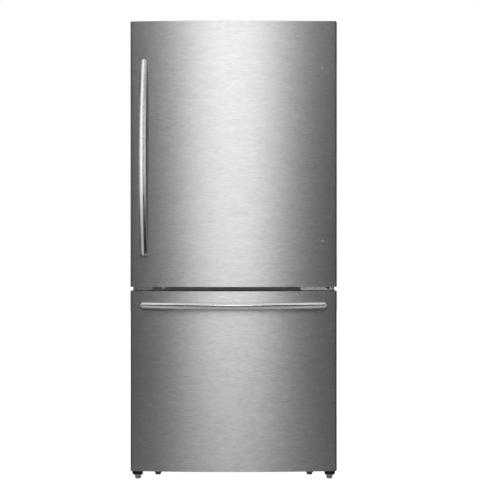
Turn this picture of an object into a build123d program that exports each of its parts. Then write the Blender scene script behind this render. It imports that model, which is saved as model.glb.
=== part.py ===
from build123d import *
from math import radians, sin, sqrt, tan
import os

# Bottom freezer refrigerator: one hinged door above a pull-out freezer drawer.
# Millimetres. The origin lies on the floor at the middle of the bounding box, +Z is up, the doors face -Y
# and +X is to the viewer's right.

# ---------------------------------------------------------------- driving dimensions
# doors
door_width = 790.0
door_height = 1014.0
drawer_height = 688.0
door_split = 16.0
door_depth = 58.0
door_bow = 13.0
door_corner = 7.0
skin_sheet = 0.9
skin_return = 14.0
end_cap_depth = 18.0
end_cap_wall = 2.5
floor_gap = 42.0
seat_gap = 0.3

# cabinet
cabinet_reveal = 2.0
cabinet_depth = 600.0
cabinet_drop = 4.0
cabinet_lift = 6.0
shell_sheet = 0.8
flange_width = 40.0
gasket_gap = 12.0
gasket_width = 15.0
gasket_edge = 23.0
gasket_land = 14.0

# liners
liner_sheet = 2.0
side_wall = 50.0
freezer_side_wall = 60.0
ceiling_wall = 50.0
back_wall = 55.0
mullion_height = 82.0
mullion_depth = 22.0
freezer_floor_wall = 44.0
liner_corner = 14.0
dike_height = 30.0
dike_width = 28.0
dike_gap = 8.0

# machine compartment
deck_height = 12.0
machine_depth = 232.0
machine_height = 274.0
step_wall = 48.0
deck_sheet = 1.5

# handles
handle_width = 27.0
handle_thickness = 14.0
handle_projection = 62.0
handle_end_gap = 3.0
handle_ridge = 11.0
post_radius = 7.0
stud_radius = 3.0
stud_length = 8.0
hole_clearance = 0.3
plug_rise = 1.6
door_handle_top = 146.0
door_handle_bottom = 122.0
door_handle_side = 52.0
door_fixing_side = 56.0
top_fixing = 33.0
bottom_fixing = 53.0
drawer_handle_side = 42.0
drawer_handle_drop = 55.0
drawer_fixing = 40.0

# hinges
pin_radius = 5.0
pin_clearance = 0.05
pin_inset = 21.0
pin_ahead = 28.0
pin_reach = 16.0
hinge_plate = 3.0
hinge_nose = 13.0
hinge_gap = 1.2
tongue_sheet = 2.5
hinge_length = 124.0
hinge_height = 36.0
hinge_edge = 7.0
hinge_screw_sides = (118.0, 75.0, 51.0)
tongue_side = 20.0
spare_screw_sides = (118.0, 71.0)
hole_cover_edge = 15.0
top_hinge_width = 88.0
top_hinge_depth = 80.0
top_hinge_setback = 12.0
cap_margin = 12.0
cap_inner_side = 96.0
cap_outer_side = 1.0
hinge_seat_depth = 0.3
hinge_seat_margin = 3.0
cover_sheet = 1.3
cover_rise = 19.0
screw_radius = 2.5
screw_head_radius = 6.0
screw_head_height = 3.5
screw_length = 14.0

# feet and rollers
foot_side = 21.0
foot_behind_edge = 54.0
pad_radius = 12.2
pad_height = 15.0
disc_radius = 19.0
disc_height = 5.0
stud_foot_radius = 5.0
leg_width = 40.0
leg_sheet = 2.5
leg_back = 34.0
leg_step = 4.0
leg_gap = 2.0
front_roller_side = 95.0
roller_radius = 20.0
roller_width = 20.0
roller_lift = 1.0
roller_side_gap = 1.5
front_roller_inset = 28.0
rear_roller_inset = 40.0
rear_roller_side = 20.0
axle_radius = 4.0
fork_sheet = 2.0

# fresh food compartment
shelf_rises = (416.0, 646.0)
shelf_front = 112.0
shelf_duct_gap = 21.0
shelf_frame_height = 16.0
glass_sheet = 4.0
frame_side_gap = 1.5
frame_band = 24.0
glass_seat = 12.0
ledge_reach = 8.0
ledge_height = 12.0
crisper_cover_rise = 201.0
crisper_lift = 9.0
crisper_setback = 4.0
crisper_back_gap = 24.0
crisper_wall = 2.5
crisper_side_gap = 24.0
crisper_centre_gap = 10.0
crisper_lip = 8.0
crisper_top_gap = 4.0
lip_sheet = 3.0
slider_slot = 46.0
slider_travel = 15.0
slot_width = 6.0
bin_wall = 2.5
bin_reach = 96.0
upper_bin_rise = 351.0
bin_depth = 120.0
dairy_width = 300.0
dairy_drop = 256.0
dairy_depth = 72.0
control_width = 300.0
control_depth = 190.0
control_height = 34.0
control_front = 124.0
control_wall = 2.2
lens_length = 120.0
lens_width = 60.0
button_width = 26.0
button_height = 10.0
button_spacing = 60.0
button_travel = 1.5
duct_depth = 22.0
duct_width = 220.0

# freezer compartment
slide_rise = 30.0
slide_front = 25.0
slide_back_gap = 35.0
slide_section = 45.0
slide_sheet = 1.5
slide_gap = 0.3
ledge_rise = 6.0
ledge_width = 14.0
arm_margin = 3.0
basket_front_gap = 6.0
basket_back_gap = 5.0
basket_lift = 18.0
basket_slot_width = 9.0
basket_slot_pitch = 44.0
tray_short = 14.0
tray_height = 130.0
tray_wall = 2.5
evaporator_space = 70.0
cover_return = 14.0
fan_row = 10.0
fan_radius = 48.0
fan_top_gap = 9.5

# cooling circuit
condenser_fan_radius = 70.0
fan_depth = 18.0
fan_hub = 16.0
condenser_hub = 18.0
root_pitch = 52.0
tip_pitch = 28.0
blade_sheet = 1.8
motor_radius = 21.0
motor_length = 26.0
shaft_radius = 3.0
shroud_gap = 3.0
shroud_front = 13.5
cover_panel = 2.5
shroud_sheet = 2.5
fin_count = 14
plate_sheet = 2.0
tube_radius = 4.0
evaporator_length = 430.0
evaporator_depth = 40.0
evaporator_leg = 10.0
evaporator_gap = 12.0
evaporator_top_gap = 37.5
coil_plate_edge = 3.0
condenser_depth = 60.0
condenser_height = 150.0
condenser_leg = 36.0
condenser_side = 60.0
machine_gap = 86.8
pan_width = 150.0
pan_height = 26.0
compressor_radius = 74.0
compressor_height = 170.0
compressor_wall = 8.0
compressor_side = 215.0
grommet_height = 12.0

# ---------------------------------------------------------------- derived places
total_depth = cabinet_depth + gasket_gap + door_depth + handle_projection
back_y = total_depth / 2
cabinet_y = back_y - cabinet_depth
door_back_y = cabinet_y - gasket_gap
edge_y = door_back_y - door_depth
handle_front_y = edge_y - handle_projection

drawer_z = floor_gap
drawer_top_z = drawer_z + drawer_height
door_z = drawer_top_z + door_split
door_top_z = door_z + door_height
split_z = (drawer_top_z + door_z) / 2
cabinet_top_z = door_top_z - cabinet_drop
cabinet_low_z = drawer_z + cabinet_lift
deck_z = cabinet_low_z + deck_height

half_door = door_width / 2
half_cabinet = half_door - cabinet_reveal
door_handle_x = half_door - door_handle_side
door_handle_fixing_x = half_door - door_fixing_side
door_handle_length = door_height - door_handle_top - door_handle_bottom
drawer_handle_length = door_width - 2 * drawer_handle_side
hinge_screw_x = [half_cabinet - side for side in hinge_screw_sides]
spare_screw_x = [half_cabinet - side for side in spare_screw_sides]
foot_x = half_cabinet - foot_side
front_roller_x = half_cabinet - front_roller_side
half_fridge = half_cabinet - side_wall
half_freezer = half_cabinet - freezer_side_wall
fridge_floor_z = split_z + mullion_height / 2
fridge_ceiling_z = cabinet_top_z - ceiling_wall
freezer_ceiling_z = split_z - mullion_height / 2
freezer_floor_z = deck_z + freezer_floor_wall
fridge_back_y = back_y - back_wall
machine_y = back_y - machine_depth
machine_top_z = cabinet_low_z + machine_height
step_y = machine_y - step_wall
step_z = machine_top_z + step_wall
freezer_back_y = back_y - freezer_side_wall

shelf_heights = [fridge_floor_z + rise for rise in shelf_rises]
shelf_y = cabinet_y + shelf_front
shelf_depth = fridge_back_y - duct_depth - shelf_duct_gap - shelf_y
crisper_cover_height = fridge_floor_z + crisper_cover_rise
crisper_y = shelf_y + crisper_setback
crisper_length = shelf_depth - crisper_setback - crisper_back_gap
dairy_height = fridge_ceiling_z - dairy_drop
cover_y = freezer_back_y - evaporator_space
slide_height = step_z + slide_rise
slide_y = cabinet_y + slide_front
slide_length = cover_y - slide_back_gap - slide_y
basket_y = slide_y + basket_front_gap
basket_depth = step_y - basket_back_gap - basket_y
fan_height = freezer_ceiling_z - fan_radius - shroud_gap - shroud_sheet - fan_top_gap

disc_top_z = pad_height + disc_height
pin_x = half_door - pin_inset
pin_y = door_back_y - pin_ahead


# ---------------------------------------------------------------- shared construction
def front_plane(y):
    """Upright plane that faces the viewer; a negative extrusion goes back from it."""
    return Plane.XZ.offset(-y)


def level(z):
    """Horizontal plane at height z."""
    return Plane.XY.offset(z)


def span(low_u, high_u, low_v, high_v, mode=Mode.ADD):
    """Rectangle of the current sketch between two corners."""
    with Locations(((low_u + high_u) / 2, (low_v + high_v) / 2)):
        Rectangle(high_u - low_u, high_v - low_v, mode=mode)


def ring(half_width, low_z, high_z, width, radius=0.1):
    """Upright rounded frame of the given band width, as a sketch."""
    with BuildSketch() as frame:
        with Locations((0, (low_z + high_z) / 2)):
            RectangleRounded(2 * half_width, high_z - low_z, radius)
            RectangleRounded(
                2 * (half_width - width),
                high_z - low_z - 2 * width,
                max(radius - width, 1.0),
                mode=Mode.SUBTRACT,
            )
    return frame.sketch


def door_face_y(x):
    """Depth of the bowed door front at a distance x from the middle."""
    half_chord = half_door - door_corner
    bow_radius = (half_chord**2 + door_bow**2) / (2 * door_bow)
    return edge_y - door_bow + bow_radius - sqrt(bow_radius**2 - x**2)


def door_plan(inset):
    """Plan of a door: bowed front, rolled corners and straight sides, moved inwards by inset."""
    half = half_door - inset
    front = edge_y + inset
    radius = door_corner - inset
    corner = radius * (1 - sqrt(0.5))
    with BuildSketch() as plan:
        with BuildLine():
            Line((-half, door_back_y - inset), (half, door_back_y - inset))
            Line((half, door_back_y - inset), (half, front + radius))
            ThreePointArc((half, front + radius), (half - corner, front + corner), (half - radius, front))
            ThreePointArc((half - radius, front), (0, front - door_bow), (radius - half, front))
            ThreePointArc((radius - half, front), (corner - half, front + corner), (-half, front + radius))
            Line((-half, front + radius), (-half, door_back_y - inset))
        make_face()
    return plan.sketch


def panel_skin(low_z, height):
    """Folded steel wrap of a door: front, sides and narrow return flanges at the back."""
    with BuildPart() as skin:
        with BuildSketch(level(low_z)):
            add(door_plan(0))
            add(door_plan(skin_sheet), mode=Mode.SUBTRACT)
            opening = half_door - skin_return
            span(-opening, opening, door_back_y - 2 * skin_sheet, door_back_y + 1, mode=Mode.SUBTRACT)
        extrude(amount=height)
    return skin.part


def end_cap(outer_z, direction):
    """Moulded tray that closes one end of a door skin, open towards the foam."""
    with BuildPart() as cap:
        with BuildSketch(level(outer_z)):
            add(door_plan(skin_sheet))
        extrude(amount=direction * end_cap_depth)
        with BuildSketch(level(outer_z + direction * end_cap_wall)):
            add(door_plan(skin_sheet + end_cap_wall))
        extrude(amount=direction * end_cap_depth, mode=Mode.SUBTRACT)
    return cap.part


def hinge_boss(outer_z, direction):
    """Bush moulded on an end cap for a hinge pin."""
    with BuildPart() as boss:
        with BuildSketch(level(outer_z)):
            with Locations((pin_x, pin_y)):
                Circle(2 * pin_radius)
        extrude(amount=direction * end_cap_depth)
    return boss.part


def pin_socket(outer_z, direction):
    """Space for a hinge pin in an end cap."""
    with BuildPart() as socket:
        with BuildSketch(level(outer_z - direction)):
            with Locations((pin_x, pin_y)):
                Circle(pin_radius + pin_clearance)
        extrude(amount=direction * (pin_reach + 2))
    return socket.part


def dike_ring(half_width, low_z, high_z, inset, height):
    """Raised rim of an inner liner, shrunk by inset."""
    with BuildPart() as dike:
        with BuildSketch(front_plane(door_back_y)):
            add(
                ring(
                    half_width - inset,
                    low_z + inset,
                    high_z - inset,
                    dike_width - 2 * inset,
                    liner_corner + dike_width - inset,
                )
            )
        extrude(amount=-height)
    return dike.part


def inner_liner(low_z, high_z, dike_half, dike_low, dike_high):
    """Vacuum-formed inner face of a door: flange sheet, raised rim and sunken middle."""
    flange_half = half_door - skin_return / 2
    with BuildPart() as liner:
        with BuildSketch(front_plane(door_back_y)):
            span(-flange_half, flange_half, low_z, high_z)
        extrude(amount=-liner_sheet)
        add(dike_ring(dike_half, dike_low, dike_high, 0, dike_height))
        crest = liner.edges().filter_by_position(Axis.Y, door_back_y + dike_height - 0.1, back_y)
        chamfer(crest, liner_sheet)
        add(
            dike_ring(dike_half, dike_low, dike_high, liner_sheet, dike_height - liner_sheet),
            mode=Mode.SUBTRACT,
        )
    return liner.part


def foam_filling(low_z, high_z, dike_half, dike_low, dike_high):
    """Foam between a door skin and its liner, with the filling of the raised rim."""
    with BuildPart() as foam:
        with BuildSketch(level(low_z + end_cap_depth)):
            add(door_plan(skin_sheet))
            opening = half_door - skin_return
            span(-opening, opening, door_back_y - 2 * skin_sheet, door_back_y)
        extrude(amount=high_z - low_z - 2 * end_cap_depth)
        add(dike_ring(dike_half, dike_low, dike_high, liner_sheet, dike_height - liner_sheet))
    return foam.part


def gasket(low_z, high_z):
    """Magnetic door seal: wide face towards the cabinet, narrower bellows behind it."""
    half = half_door - gasket_edge
    reach = gasket_gap - liner_sheet - seat_gap
    face = reach * 0.4
    with BuildPart() as seal:
        with BuildSketch(front_plane(door_back_y + liner_sheet)):
            inset = gasket_width * 0.2
            add(ring(half - inset, low_z + inset, high_z - inset, gasket_width - 2 * inset, 6))
        extrude(amount=-reach)
        with BuildSketch(front_plane(cabinet_y - seat_gap - face)):
            add(ring(half, low_z, high_z, gasket_width, 8))
        extrude(amount=-face)
    return seal.part


def bar_profile():
    """Section of the handle bar: flat back, two front facets that meet in a soft ridge."""
    edge = handle_thickness * 0.45
    with BuildSketch() as section:
        with BuildLine():
            Polyline(
                (0, 0),
                (handle_width, 0),
                (handle_width, edge * 1.35),
                (handle_width - handle_ridge, handle_thickness),
                (0, edge),
                (0, 0),
            )
        make_face()
        ridge = section.vertices().sort_by(Axis.Y)[-1]
        fillet(ridge, handle_thickness * 0.6)
        fillet(section.vertices().group_by(Axis.X)[0], 1.5)
        fillet(section.vertices().group_by(Axis.X)[-1], 1.5)
    return section.sketch


def bar_bow(length):
    """Rise of a handle's arc at mid-span, so that its crown reaches the handle's front plane."""
    ends_y = door_face_y(door_handle_x if length == door_handle_length else length / 2) - handle_end_gap
    return ends_y - bar_profile().bounding_box().max.Y - handle_front_y


def bar_rise(length, offset):
    """Rise of a handle's arc at a distance from its middle."""
    bow = bar_bow(length)
    arc_radius = (length**2 / 4 + bow**2) / (2 * bow)
    return bow - arc_radius + sqrt(arc_radius**2 - offset**2)


def bowed_bar(length, sagitta):
    """Handle bar along X, bowed towards -Y, its back at y = 0 at both ends."""
    half = length / 2
    with BuildPart() as bar:
        with BuildLine() as path:
            ThreePointArc((-half, 0), (0, -sagitta), (half, 0))
        start = Plane(origin=path.line @ 0, x_dir=(0, 0, 1), z_dir=path.line % 0)
        with BuildSketch(start):
            with Locations((-handle_width / 2, 0)):
                add(bar_profile())
        sweep()
    return bar.part


def rounded_tub(half_x, low_y, high_y, low_z, high_z, wall, draft, radius):
    """Open moulded tub that narrows towards its floor by the draft angle of its walls."""
    with BuildPart() as tub:
        for inset, floor_z, mode in ((0, low_z, Mode.ADD), (wall, low_z + wall, Mode.SUBTRACT)):
            for z in (high_z, floor_z):
                shrink = inset + (high_z - z) * tan(radians(draft))
                with BuildSketch(level(z)):
                    with Locations((0, (low_y + high_y) / 2)):
                        RectangleRounded(
                            2 * (half_x - shrink), high_y - low_y - 2 * shrink, radius - inset
                        )
            loft(ruled=True, mode=mode)
    return tub.part


def slide_member(outer_x, depth, half_height, front_y, opens_inwards):
    """Channel of a telescopic slide on the right side, made from bent sheet."""
    inner_x = outer_x - depth
    with BuildPart() as member:
        with BuildSketch(front_plane(front_y)):
            span(inner_x, outer_x, slide_height - half_height, slide_height + half_height)
            shift = -slide_sheet if opens_inwards else slide_sheet
            span(
                inner_x + shift,
                outer_x + shift,
                slide_height - half_height + slide_sheet,
                slide_height + half_height - slide_sheet,
                mode=Mode.SUBTRACT,
            )
        extrude(amount=-slide_length)
    return member.part


def fan_blades(count, radius, hub_radius, depth, bore):
    """Axial fan along Z: twisted blades lofted from hub to rim and trimmed to the fan's circle."""
    chord = depth / sin(radians(root_pitch))
    with BuildPart() as blade:
        root = Plane(origin=(hub_radius * 0.8, 0, 0), x_dir=(0, 1, 0), z_dir=(1, 0, 0))
        tip = Plane(origin=(radius * 1.1, 0, 0), x_dir=(0, 1, 0), z_dir=(1, 0, 0))
        with BuildSketch(root.rotated((0, 0, root_pitch))):
            Rectangle(chord * 0.9, blade_sheet)
        with BuildSketch(tip.rotated((0, 0, tip_pitch))):
            Rectangle(chord * 1.25, blade_sheet)
        loft()
        with BuildSketch(level(-depth)):
            Circle(radius)
        extrude(amount=2 * depth, mode=Mode.INTERSECT)
    with BuildPart() as fan:
        with BuildSketch():
            Circle(hub_radius)
        extrude(amount=depth / 2, both=True)
        with PolarLocations(0, count):
            add(blade.part)
        with BuildSketch(level(-depth)):
            Circle(bore)
        extrude(amount=2 * depth, mode=Mode.SUBTRACT)
    return fan.part


def fan_motor(radius):
    """Motor along Z behind a fan: can, shaft, three arms and the shroud ring they spring from."""
    with BuildPart() as motor:
        with BuildSketch(level(-motor_length - fan_depth)):
            Circle(motor_radius)
        extrude(amount=motor_length)
        with BuildSketch(level(-motor_length)):
            Circle(shaft_radius)
        extrude(amount=motor_length + fan_depth / 2 + 2)
        with BuildSketch(level(-fan_depth - 3)):
            with PolarLocations(0, 3):
                with Locations(((radius + motor_radius) / 2, 0)):
                    Rectangle(radius - motor_radius + 2 * shroud_sheet + 6, 8)
        extrude(amount=3)
        with BuildSketch(level(-fan_depth - 3)):
            Circle(radius + shroud_gap + shroud_sheet)
            Circle(radius + shroud_gap, mode=Mode.SUBTRACT)
        extrude(amount=fan_depth + 3 + shroud_front)
    return motor.part


def finned_coil(length, depth, height, leg):
    """Heat exchanger along X: fin block, end plates with feet and the return bends of its tube."""
    pitch = height / 4
    with BuildPart() as coil:
        with BuildSketch(Plane.YZ.offset(-length / 2)):
            span(0, depth, leg, leg + height)
        extrude(amount=length)
        groove = length / (2 * fin_count + 1)
        for face_y, into in ((0, 1), (depth, -1)):
            with BuildSketch(level(leg)):
                with Locations((0, face_y + into * depth / 8)):
                    with GridLocations(2 * groove, 1, fin_count, 1):
                        Rectangle(groove, depth / 4)
            extrude(amount=height, mode=Mode.SUBTRACT)
        with BuildSketch(Plane.YZ.offset(-length / 2)):
            span(-coil_plate_edge, depth + coil_plate_edge, 0, leg + height + coil_plate_edge)
        extrude(amount=-plate_sheet)
        with BuildSketch(Plane.YZ.offset(length / 2)):
            span(-coil_plate_edge, depth + coil_plate_edge, 0, leg + height + coil_plate_edge)
        extrude(amount=plate_sheet)
        for row, side in ((0, 1), (1, -1), (2, 1)):
            low = leg + pitch / 2 + row * pitch
            end_x = side * (length / 2 + plate_sheet)
            reach = side * pitch * 0.45
            with BuildLine() as bend:
                Polyline(
                    (end_x, depth / 2, low),
                    (end_x + reach, depth / 2, low + pitch * 0.25),
                    (end_x + reach, depth / 2, low + pitch * 0.75),
                    (end_x, depth / 2, low + pitch),
                )
            with BuildSketch(Plane(origin=bend.line @ 0, x_dir=(0, 1, 0), z_dir=bend.line % 0)):
                Circle(tube_radius)
            sweep(transition=Transition.RIGHT)
    return coil.part


def caster_roller(x, y, z):
    """Roller that turns on a fixed axle along X."""
    with BuildPart() as roller:
        with BuildSketch(Plane.YZ.offset(x)):
            with Locations((y, z)):
                Circle(roller_radius)
        extrude(amount=roller_width / 2, both=True)
        chamfer(roller.edges(), 1.5)
        with BuildSketch(Plane.YZ.offset(x)):
            with Locations((y, z)):
                Circle(axle_radius + pin_clearance)
        extrude(amount=roller_width, both=True, mode=Mode.SUBTRACT)
    return roller.part


def top_screws():
    """Places of the three screws that hold the top hinge to the cabinet's roof."""
    near = cabinet_y + top_hinge_depth * 0.4
    far = cabinet_y + top_hinge_depth * 0.9
    mid = half_cabinet - top_hinge_width / 2
    return ((mid - 26, near), (mid + 26, near), (mid, far))


# ---------------------------------------------------------------- cabinet
lining_y = cabinet_y + shell_sheet
half_lining = half_cabinet - shell_sheet
panel_y = back_y - shell_sheet
half_opening = half_cabinet - flange_width
fridge_flange = (fridge_floor_z - 10, cabinet_top_z - flange_width)
freezer_flange = (freezer_floor_z - 10, freezer_ceiling_z + 10)

cap_low_x = half_cabinet - cap_inner_side
cap_high_x = half_cabinet - cap_outer_side
cap_tail_y = cabinet_y + top_hinge_setback + top_hinge_depth + cap_margin

with BuildPart() as cabinet_shell:
    with BuildSketch(front_plane(cabinet_y)):
        span(-half_cabinet, half_cabinet, cabinet_low_z, cabinet_top_z)
        span(-half_lining, half_lining, cabinet_low_z - 1, cabinet_top_z - shell_sheet, mode=Mode.SUBTRACT)
    extrude(amount=-cabinet_depth)
    with BuildSketch(front_plane(cabinet_y)):
        span(-half_cabinet, half_cabinet, cabinet_low_z, cabinet_top_z)
        span(-half_opening, half_opening, cabinet_low_z - 1, fridge_flange[1], mode=Mode.SUBTRACT)
    extrude(amount=-shell_sheet)
    with BuildSketch(level(cabinet_top_z)):
        with Locations(*top_screws()):
            Circle(screw_radius + hole_clearance)
    extrude(amount=-2 * shell_sheet, mode=Mode.SUBTRACT)
    with BuildSketch(level(cabinet_top_z)):
        seat_low_x = cap_low_x - hinge_seat_margin
        span(seat_low_x, half_cabinet + 1, cabinet_y - 1, cap_tail_y + hinge_seat_margin)
    extrude(amount=-hinge_seat_depth, mode=Mode.SUBTRACT)

with BuildPart() as back_panel:
    with BuildSketch(front_plane(panel_y)):
        span(-half_lining, half_lining, machine_top_z, cabinet_top_z - shell_sheet)
    extrude(amount=-shell_sheet)

with BuildPart() as mullion_rail:
    with BuildSketch(Plane.YZ.offset(-half_opening)):
        span(cabinet_y, cabinet_y + mullion_depth, freezer_flange[1], fridge_flange[0])
        span(
            cabinet_y + deck_sheet,
            cabinet_y + mullion_depth + 1,
            freezer_flange[1] + deck_sheet,
            fridge_flange[0] - deck_sheet,
            mode=Mode.SUBTRACT,
        )
    extrude(amount=2 * half_opening)
    with BuildSketch(front_plane(cabinet_y)):
        with Locations(*[(x, split_z) for x in hinge_screw_x], *[(-x, split_z) for x in spare_screw_x]):
            Circle(screw_radius + hole_clearance)
    extrude(amount=-2 * deck_sheet, mode=Mode.SUBTRACT)


def fridge_hollow(grow):
    """Space of the fresh food compartment, grown by the liner's thickness when asked."""
    with BuildPart() as hollow:
        with BuildSketch(front_plane(cabinet_y)):
            with Locations((0, (fridge_floor_z + fridge_ceiling_z) / 2)):
                RectangleRounded(
                    2 * (half_fridge + grow),
                    fridge_ceiling_z - fridge_floor_z + 2 * grow,
                    liner_corner + grow,
                )
        extrude(amount=-(fridge_back_y - cabinet_y + grow))
    return hollow.part


def freezer_hollow(grow):
    """Space of the freezer, with the step over the machine compartment."""
    with BuildPart() as hollow:
        with BuildSketch(Plane.YZ.offset(-half_freezer - grow)) as side:
            with BuildLine():
                Polyline(
                    (cabinet_y, freezer_floor_z - grow),
                    (step_y + grow, freezer_floor_z - grow),
                    (step_y + grow, step_z - grow),
                    (freezer_back_y + grow, step_z - grow),
                    (freezer_back_y + grow, freezer_ceiling_z + grow),
                    (cabinet_y, freezer_ceiling_z + grow),
                    (cabinet_y, freezer_floor_z - grow),
                )
            make_face()
            fillet(side.vertices().group_by(Axis.X)[-1], liner_corner)
        extrude(amount=2 * (half_freezer + grow))
    return hollow.part


with BuildPart() as fridge_liner:
    add(fridge_hollow(liner_sheet))
    with BuildSketch(front_plane(cabinet_y)):
        span(-half_opening, half_opening, *fridge_flange)
    extrude(amount=-liner_sheet)
    add(fridge_hollow(0), mode=Mode.SUBTRACT)
    with BuildSketch(front_plane(shelf_y - 20)):
        for height in (crisper_cover_height, *shelf_heights):
            top = height - shelf_frame_height
            span(half_fridge - ledge_reach, half_fridge + 1, top - ledge_height, top)
            span(-half_fridge - 1, ledge_reach - half_fridge, top - ledge_height, top)
    extrude(amount=-(shelf_depth + 20))

with BuildPart() as freezer_liner:
    add(freezer_hollow(liner_sheet))
    with BuildSketch(front_plane(cabinet_y)):
        span(-half_opening, half_opening, *freezer_flange)
    extrude(amount=-liner_sheet)
    add(freezer_hollow(0), mode=Mode.SUBTRACT)

with BuildPart() as cabinet_foam:
    with BuildSketch(Plane.YZ.offset(-half_lining)):
        with BuildLine():
            Polyline(
                (cabinet_y + liner_sheet, deck_z + deck_sheet),
                (machine_y - deck_sheet, deck_z + deck_sheet),
                (machine_y - deck_sheet, machine_top_z + deck_sheet),
                (panel_y, machine_top_z + deck_sheet),
                (panel_y, cabinet_top_z - shell_sheet),
                (cabinet_y + liner_sheet, cabinet_top_z - shell_sheet),
                (cabinet_y + liner_sheet, deck_z + deck_sheet),
            )
        make_face()
    extrude(amount=2 * half_lining)
    add(fridge_hollow(liner_sheet), mode=Mode.SUBTRACT)
    add(freezer_hollow(liner_sheet), mode=Mode.SUBTRACT)
    with BuildSketch(front_plane(cabinet_y)):
        span(-half_opening, half_opening, freezer_flange[1], fridge_flange[0])
    extrude(amount=-mullion_depth, mode=Mode.SUBTRACT)
    with BuildSketch(level(cabinet_top_z)):
        with Locations(*top_screws()):
            Circle(screw_radius + hole_clearance)
    extrude(amount=-screw_length, mode=Mode.SUBTRACT)


roller_axle_z = roller_radius + roller_lift
front_roller_y = cabinet_y + front_roller_inset
rear_roller_x = half_lining - rear_roller_side
rear_roller_y = back_y - rear_roller_inset
foot_y = edge_y + foot_behind_edge


def roller_fork(x, y, axle_z, top_z):
    """Two hanging cheeks with the fixed axle of a roller between them."""
    with BuildPart() as fork:
        for side in (-1, 1):
            inner = x + side * (roller_width / 2 + roller_side_gap)
            with BuildSketch(Plane.YZ.offset(inner)):
                span(y - 3 * axle_radius, y + 3 * axle_radius, axle_z, top_z)
                with Locations((y, axle_z)):
                    Circle(3 * axle_radius)
            extrude(amount=side * fork_sheet)
        with BuildSketch(Plane.YZ.offset(x)):
            with Locations((y, axle_z)):
                Circle(axle_radius)
        extrude(amount=roller_width / 2 + roller_side_gap + fork_sheet / 2, both=True)
    return fork.part


def leg_bracket(x):
    """Folded foot bracket that reaches out under the drawer, with the hole for the foot's stud."""
    front = foot_y - leg_width / 2
    back = cabinet_y + leg_back
    step = cabinet_y + leg_step
    under = drawer_z - leg_gap
    with BuildPart() as leg:
        for inset, mode in ((0, Mode.ADD), (leg_sheet, Mode.SUBTRACT)):
            low = disc_top_z + seat_gap + inset
            with BuildSketch(Plane.YZ.offset(x - leg_width / 2 + inset)):
                with BuildLine():
                    Polyline(
                        (front + inset, low),
                        (back + inset, low),
                        (back + inset, cabinet_low_z - inset),
                        (step + inset, cabinet_low_z - inset),
                        (step + inset, under - inset),
                        (front + inset, under - inset),
                        (front + inset, low),
                    )
                make_face()
            extrude(amount=leg_width - 2 * inset, mode=mode)
        low_edges = leg.edges().filter_by(Axis.Y).group_by(Axis.Z)[0]
        long_edges = low_edges.sort_by(SortBy.LENGTH)[-2:]
        fillet(long_edges, leg_sheet * 2)
        with BuildSketch(level(0)):
            with Locations((x, foot_y)):
                Circle(stud_foot_radius + pin_clearance)
        extrude(amount=drawer_z, mode=Mode.SUBTRACT)
    return leg.part


with BuildPart() as base_frame:
    with BuildSketch(Plane.YZ.offset(-half_lining)):
        span(cabinet_y + shell_sheet, machine_y, deck_z, deck_z + deck_sheet)
        span(machine_y - deck_sheet, machine_y, deck_z, machine_top_z + deck_sheet)
        span(machine_y - deck_sheet, panel_y, machine_top_z, machine_top_z + deck_sheet)
    extrude(amount=2 * half_lining)
    with BuildSketch(front_plane(cabinet_y)):
        span(-half_opening, half_opening, cabinet_low_z, freezer_flange[0])
    extrude(amount=-deck_sheet)
    with BuildSketch(front_plane(cabinet_y + shell_sheet)):
        for side in (-1, 1):
            edge = side * half_lining
            web = sorted((edge, edge - side * deck_sheet))
            foot = sorted((edge, edge - side * flange_width))
            span(*web, cabinet_low_z, deck_z + deck_sheet)
            span(*foot, cabinet_low_z, cabinet_low_z + deck_sheet)
    extrude(amount=-(cabinet_depth - 2 * shell_sheet))
    with BuildSketch(level(cabinet_low_z)):
        span(-half_lining, half_lining, machine_y + 14, panel_y - 10)
    extrude(amount=deck_sheet)
    for side in (-1, 1):
        add(roller_fork(side * front_roller_x, front_roller_y, roller_axle_z, deck_z))
        add(roller_fork(side * rear_roller_x, rear_roller_y, roller_radius, cabinet_low_z))
        add(leg_bracket(side * foot_x))

hinge_middle_x = half_cabinet - hinge_edge - hinge_length / 2
with BuildPart() as centre_hinge:
    with BuildSketch(front_plane(cabinet_y)):
        with Locations((hinge_middle_x, split_z)):
            RectangleRounded(hinge_length, hinge_height, 5)
        with Locations(*[(x, split_z) for x in hinge_screw_x]):
            Circle(screw_radius + hole_clearance, mode=Mode.SUBTRACT)
    extrude(amount=hinge_plate)
    tongue_z = split_z - hinge_plate / 2
    with BuildSketch(level(tongue_z)):
        span(pin_x - tongue_side, pin_x + hinge_nose, pin_y, cabinet_y - hinge_plate / 2)
        with Locations((pin_x, pin_y)):
            Circle(hinge_nose)
        span(pin_x - tongue_side, pin_x - hinge_nose, pin_y - hinge_nose, pin_y, mode=Mode.SUBTRACT)
    extrude(amount=hinge_plate)
    with BuildSketch(level(tongue_z)):
        with Locations((pin_x, pin_y)):
            Circle(pin_radius)
    extrude(amount=door_z + pin_reach - tongue_z)
    with BuildSketch(level(tongue_z + hinge_plate)):
        with Locations((pin_x, pin_y)):
            Circle(1.7 * pin_radius)
    extrude(amount=door_z - seat_gap - tongue_z - hinge_plate)

with BuildPart() as hinge_hole_cover:
    with BuildSketch(front_plane(cabinet_y)):
        low_x = hole_cover_edge - half_cabinet
        high_x = -spare_screw_x[1] - screw_head_radius - 2
        with Locations(((low_x + high_x) / 2, split_z)):
            RectangleRounded(high_x - low_x, hinge_height - 8, 3)
    extrude(amount=2)
    chamfer(hinge_hole_cover.faces().sort_by(Axis.Y)[0].edges(), 0.8)

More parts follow.
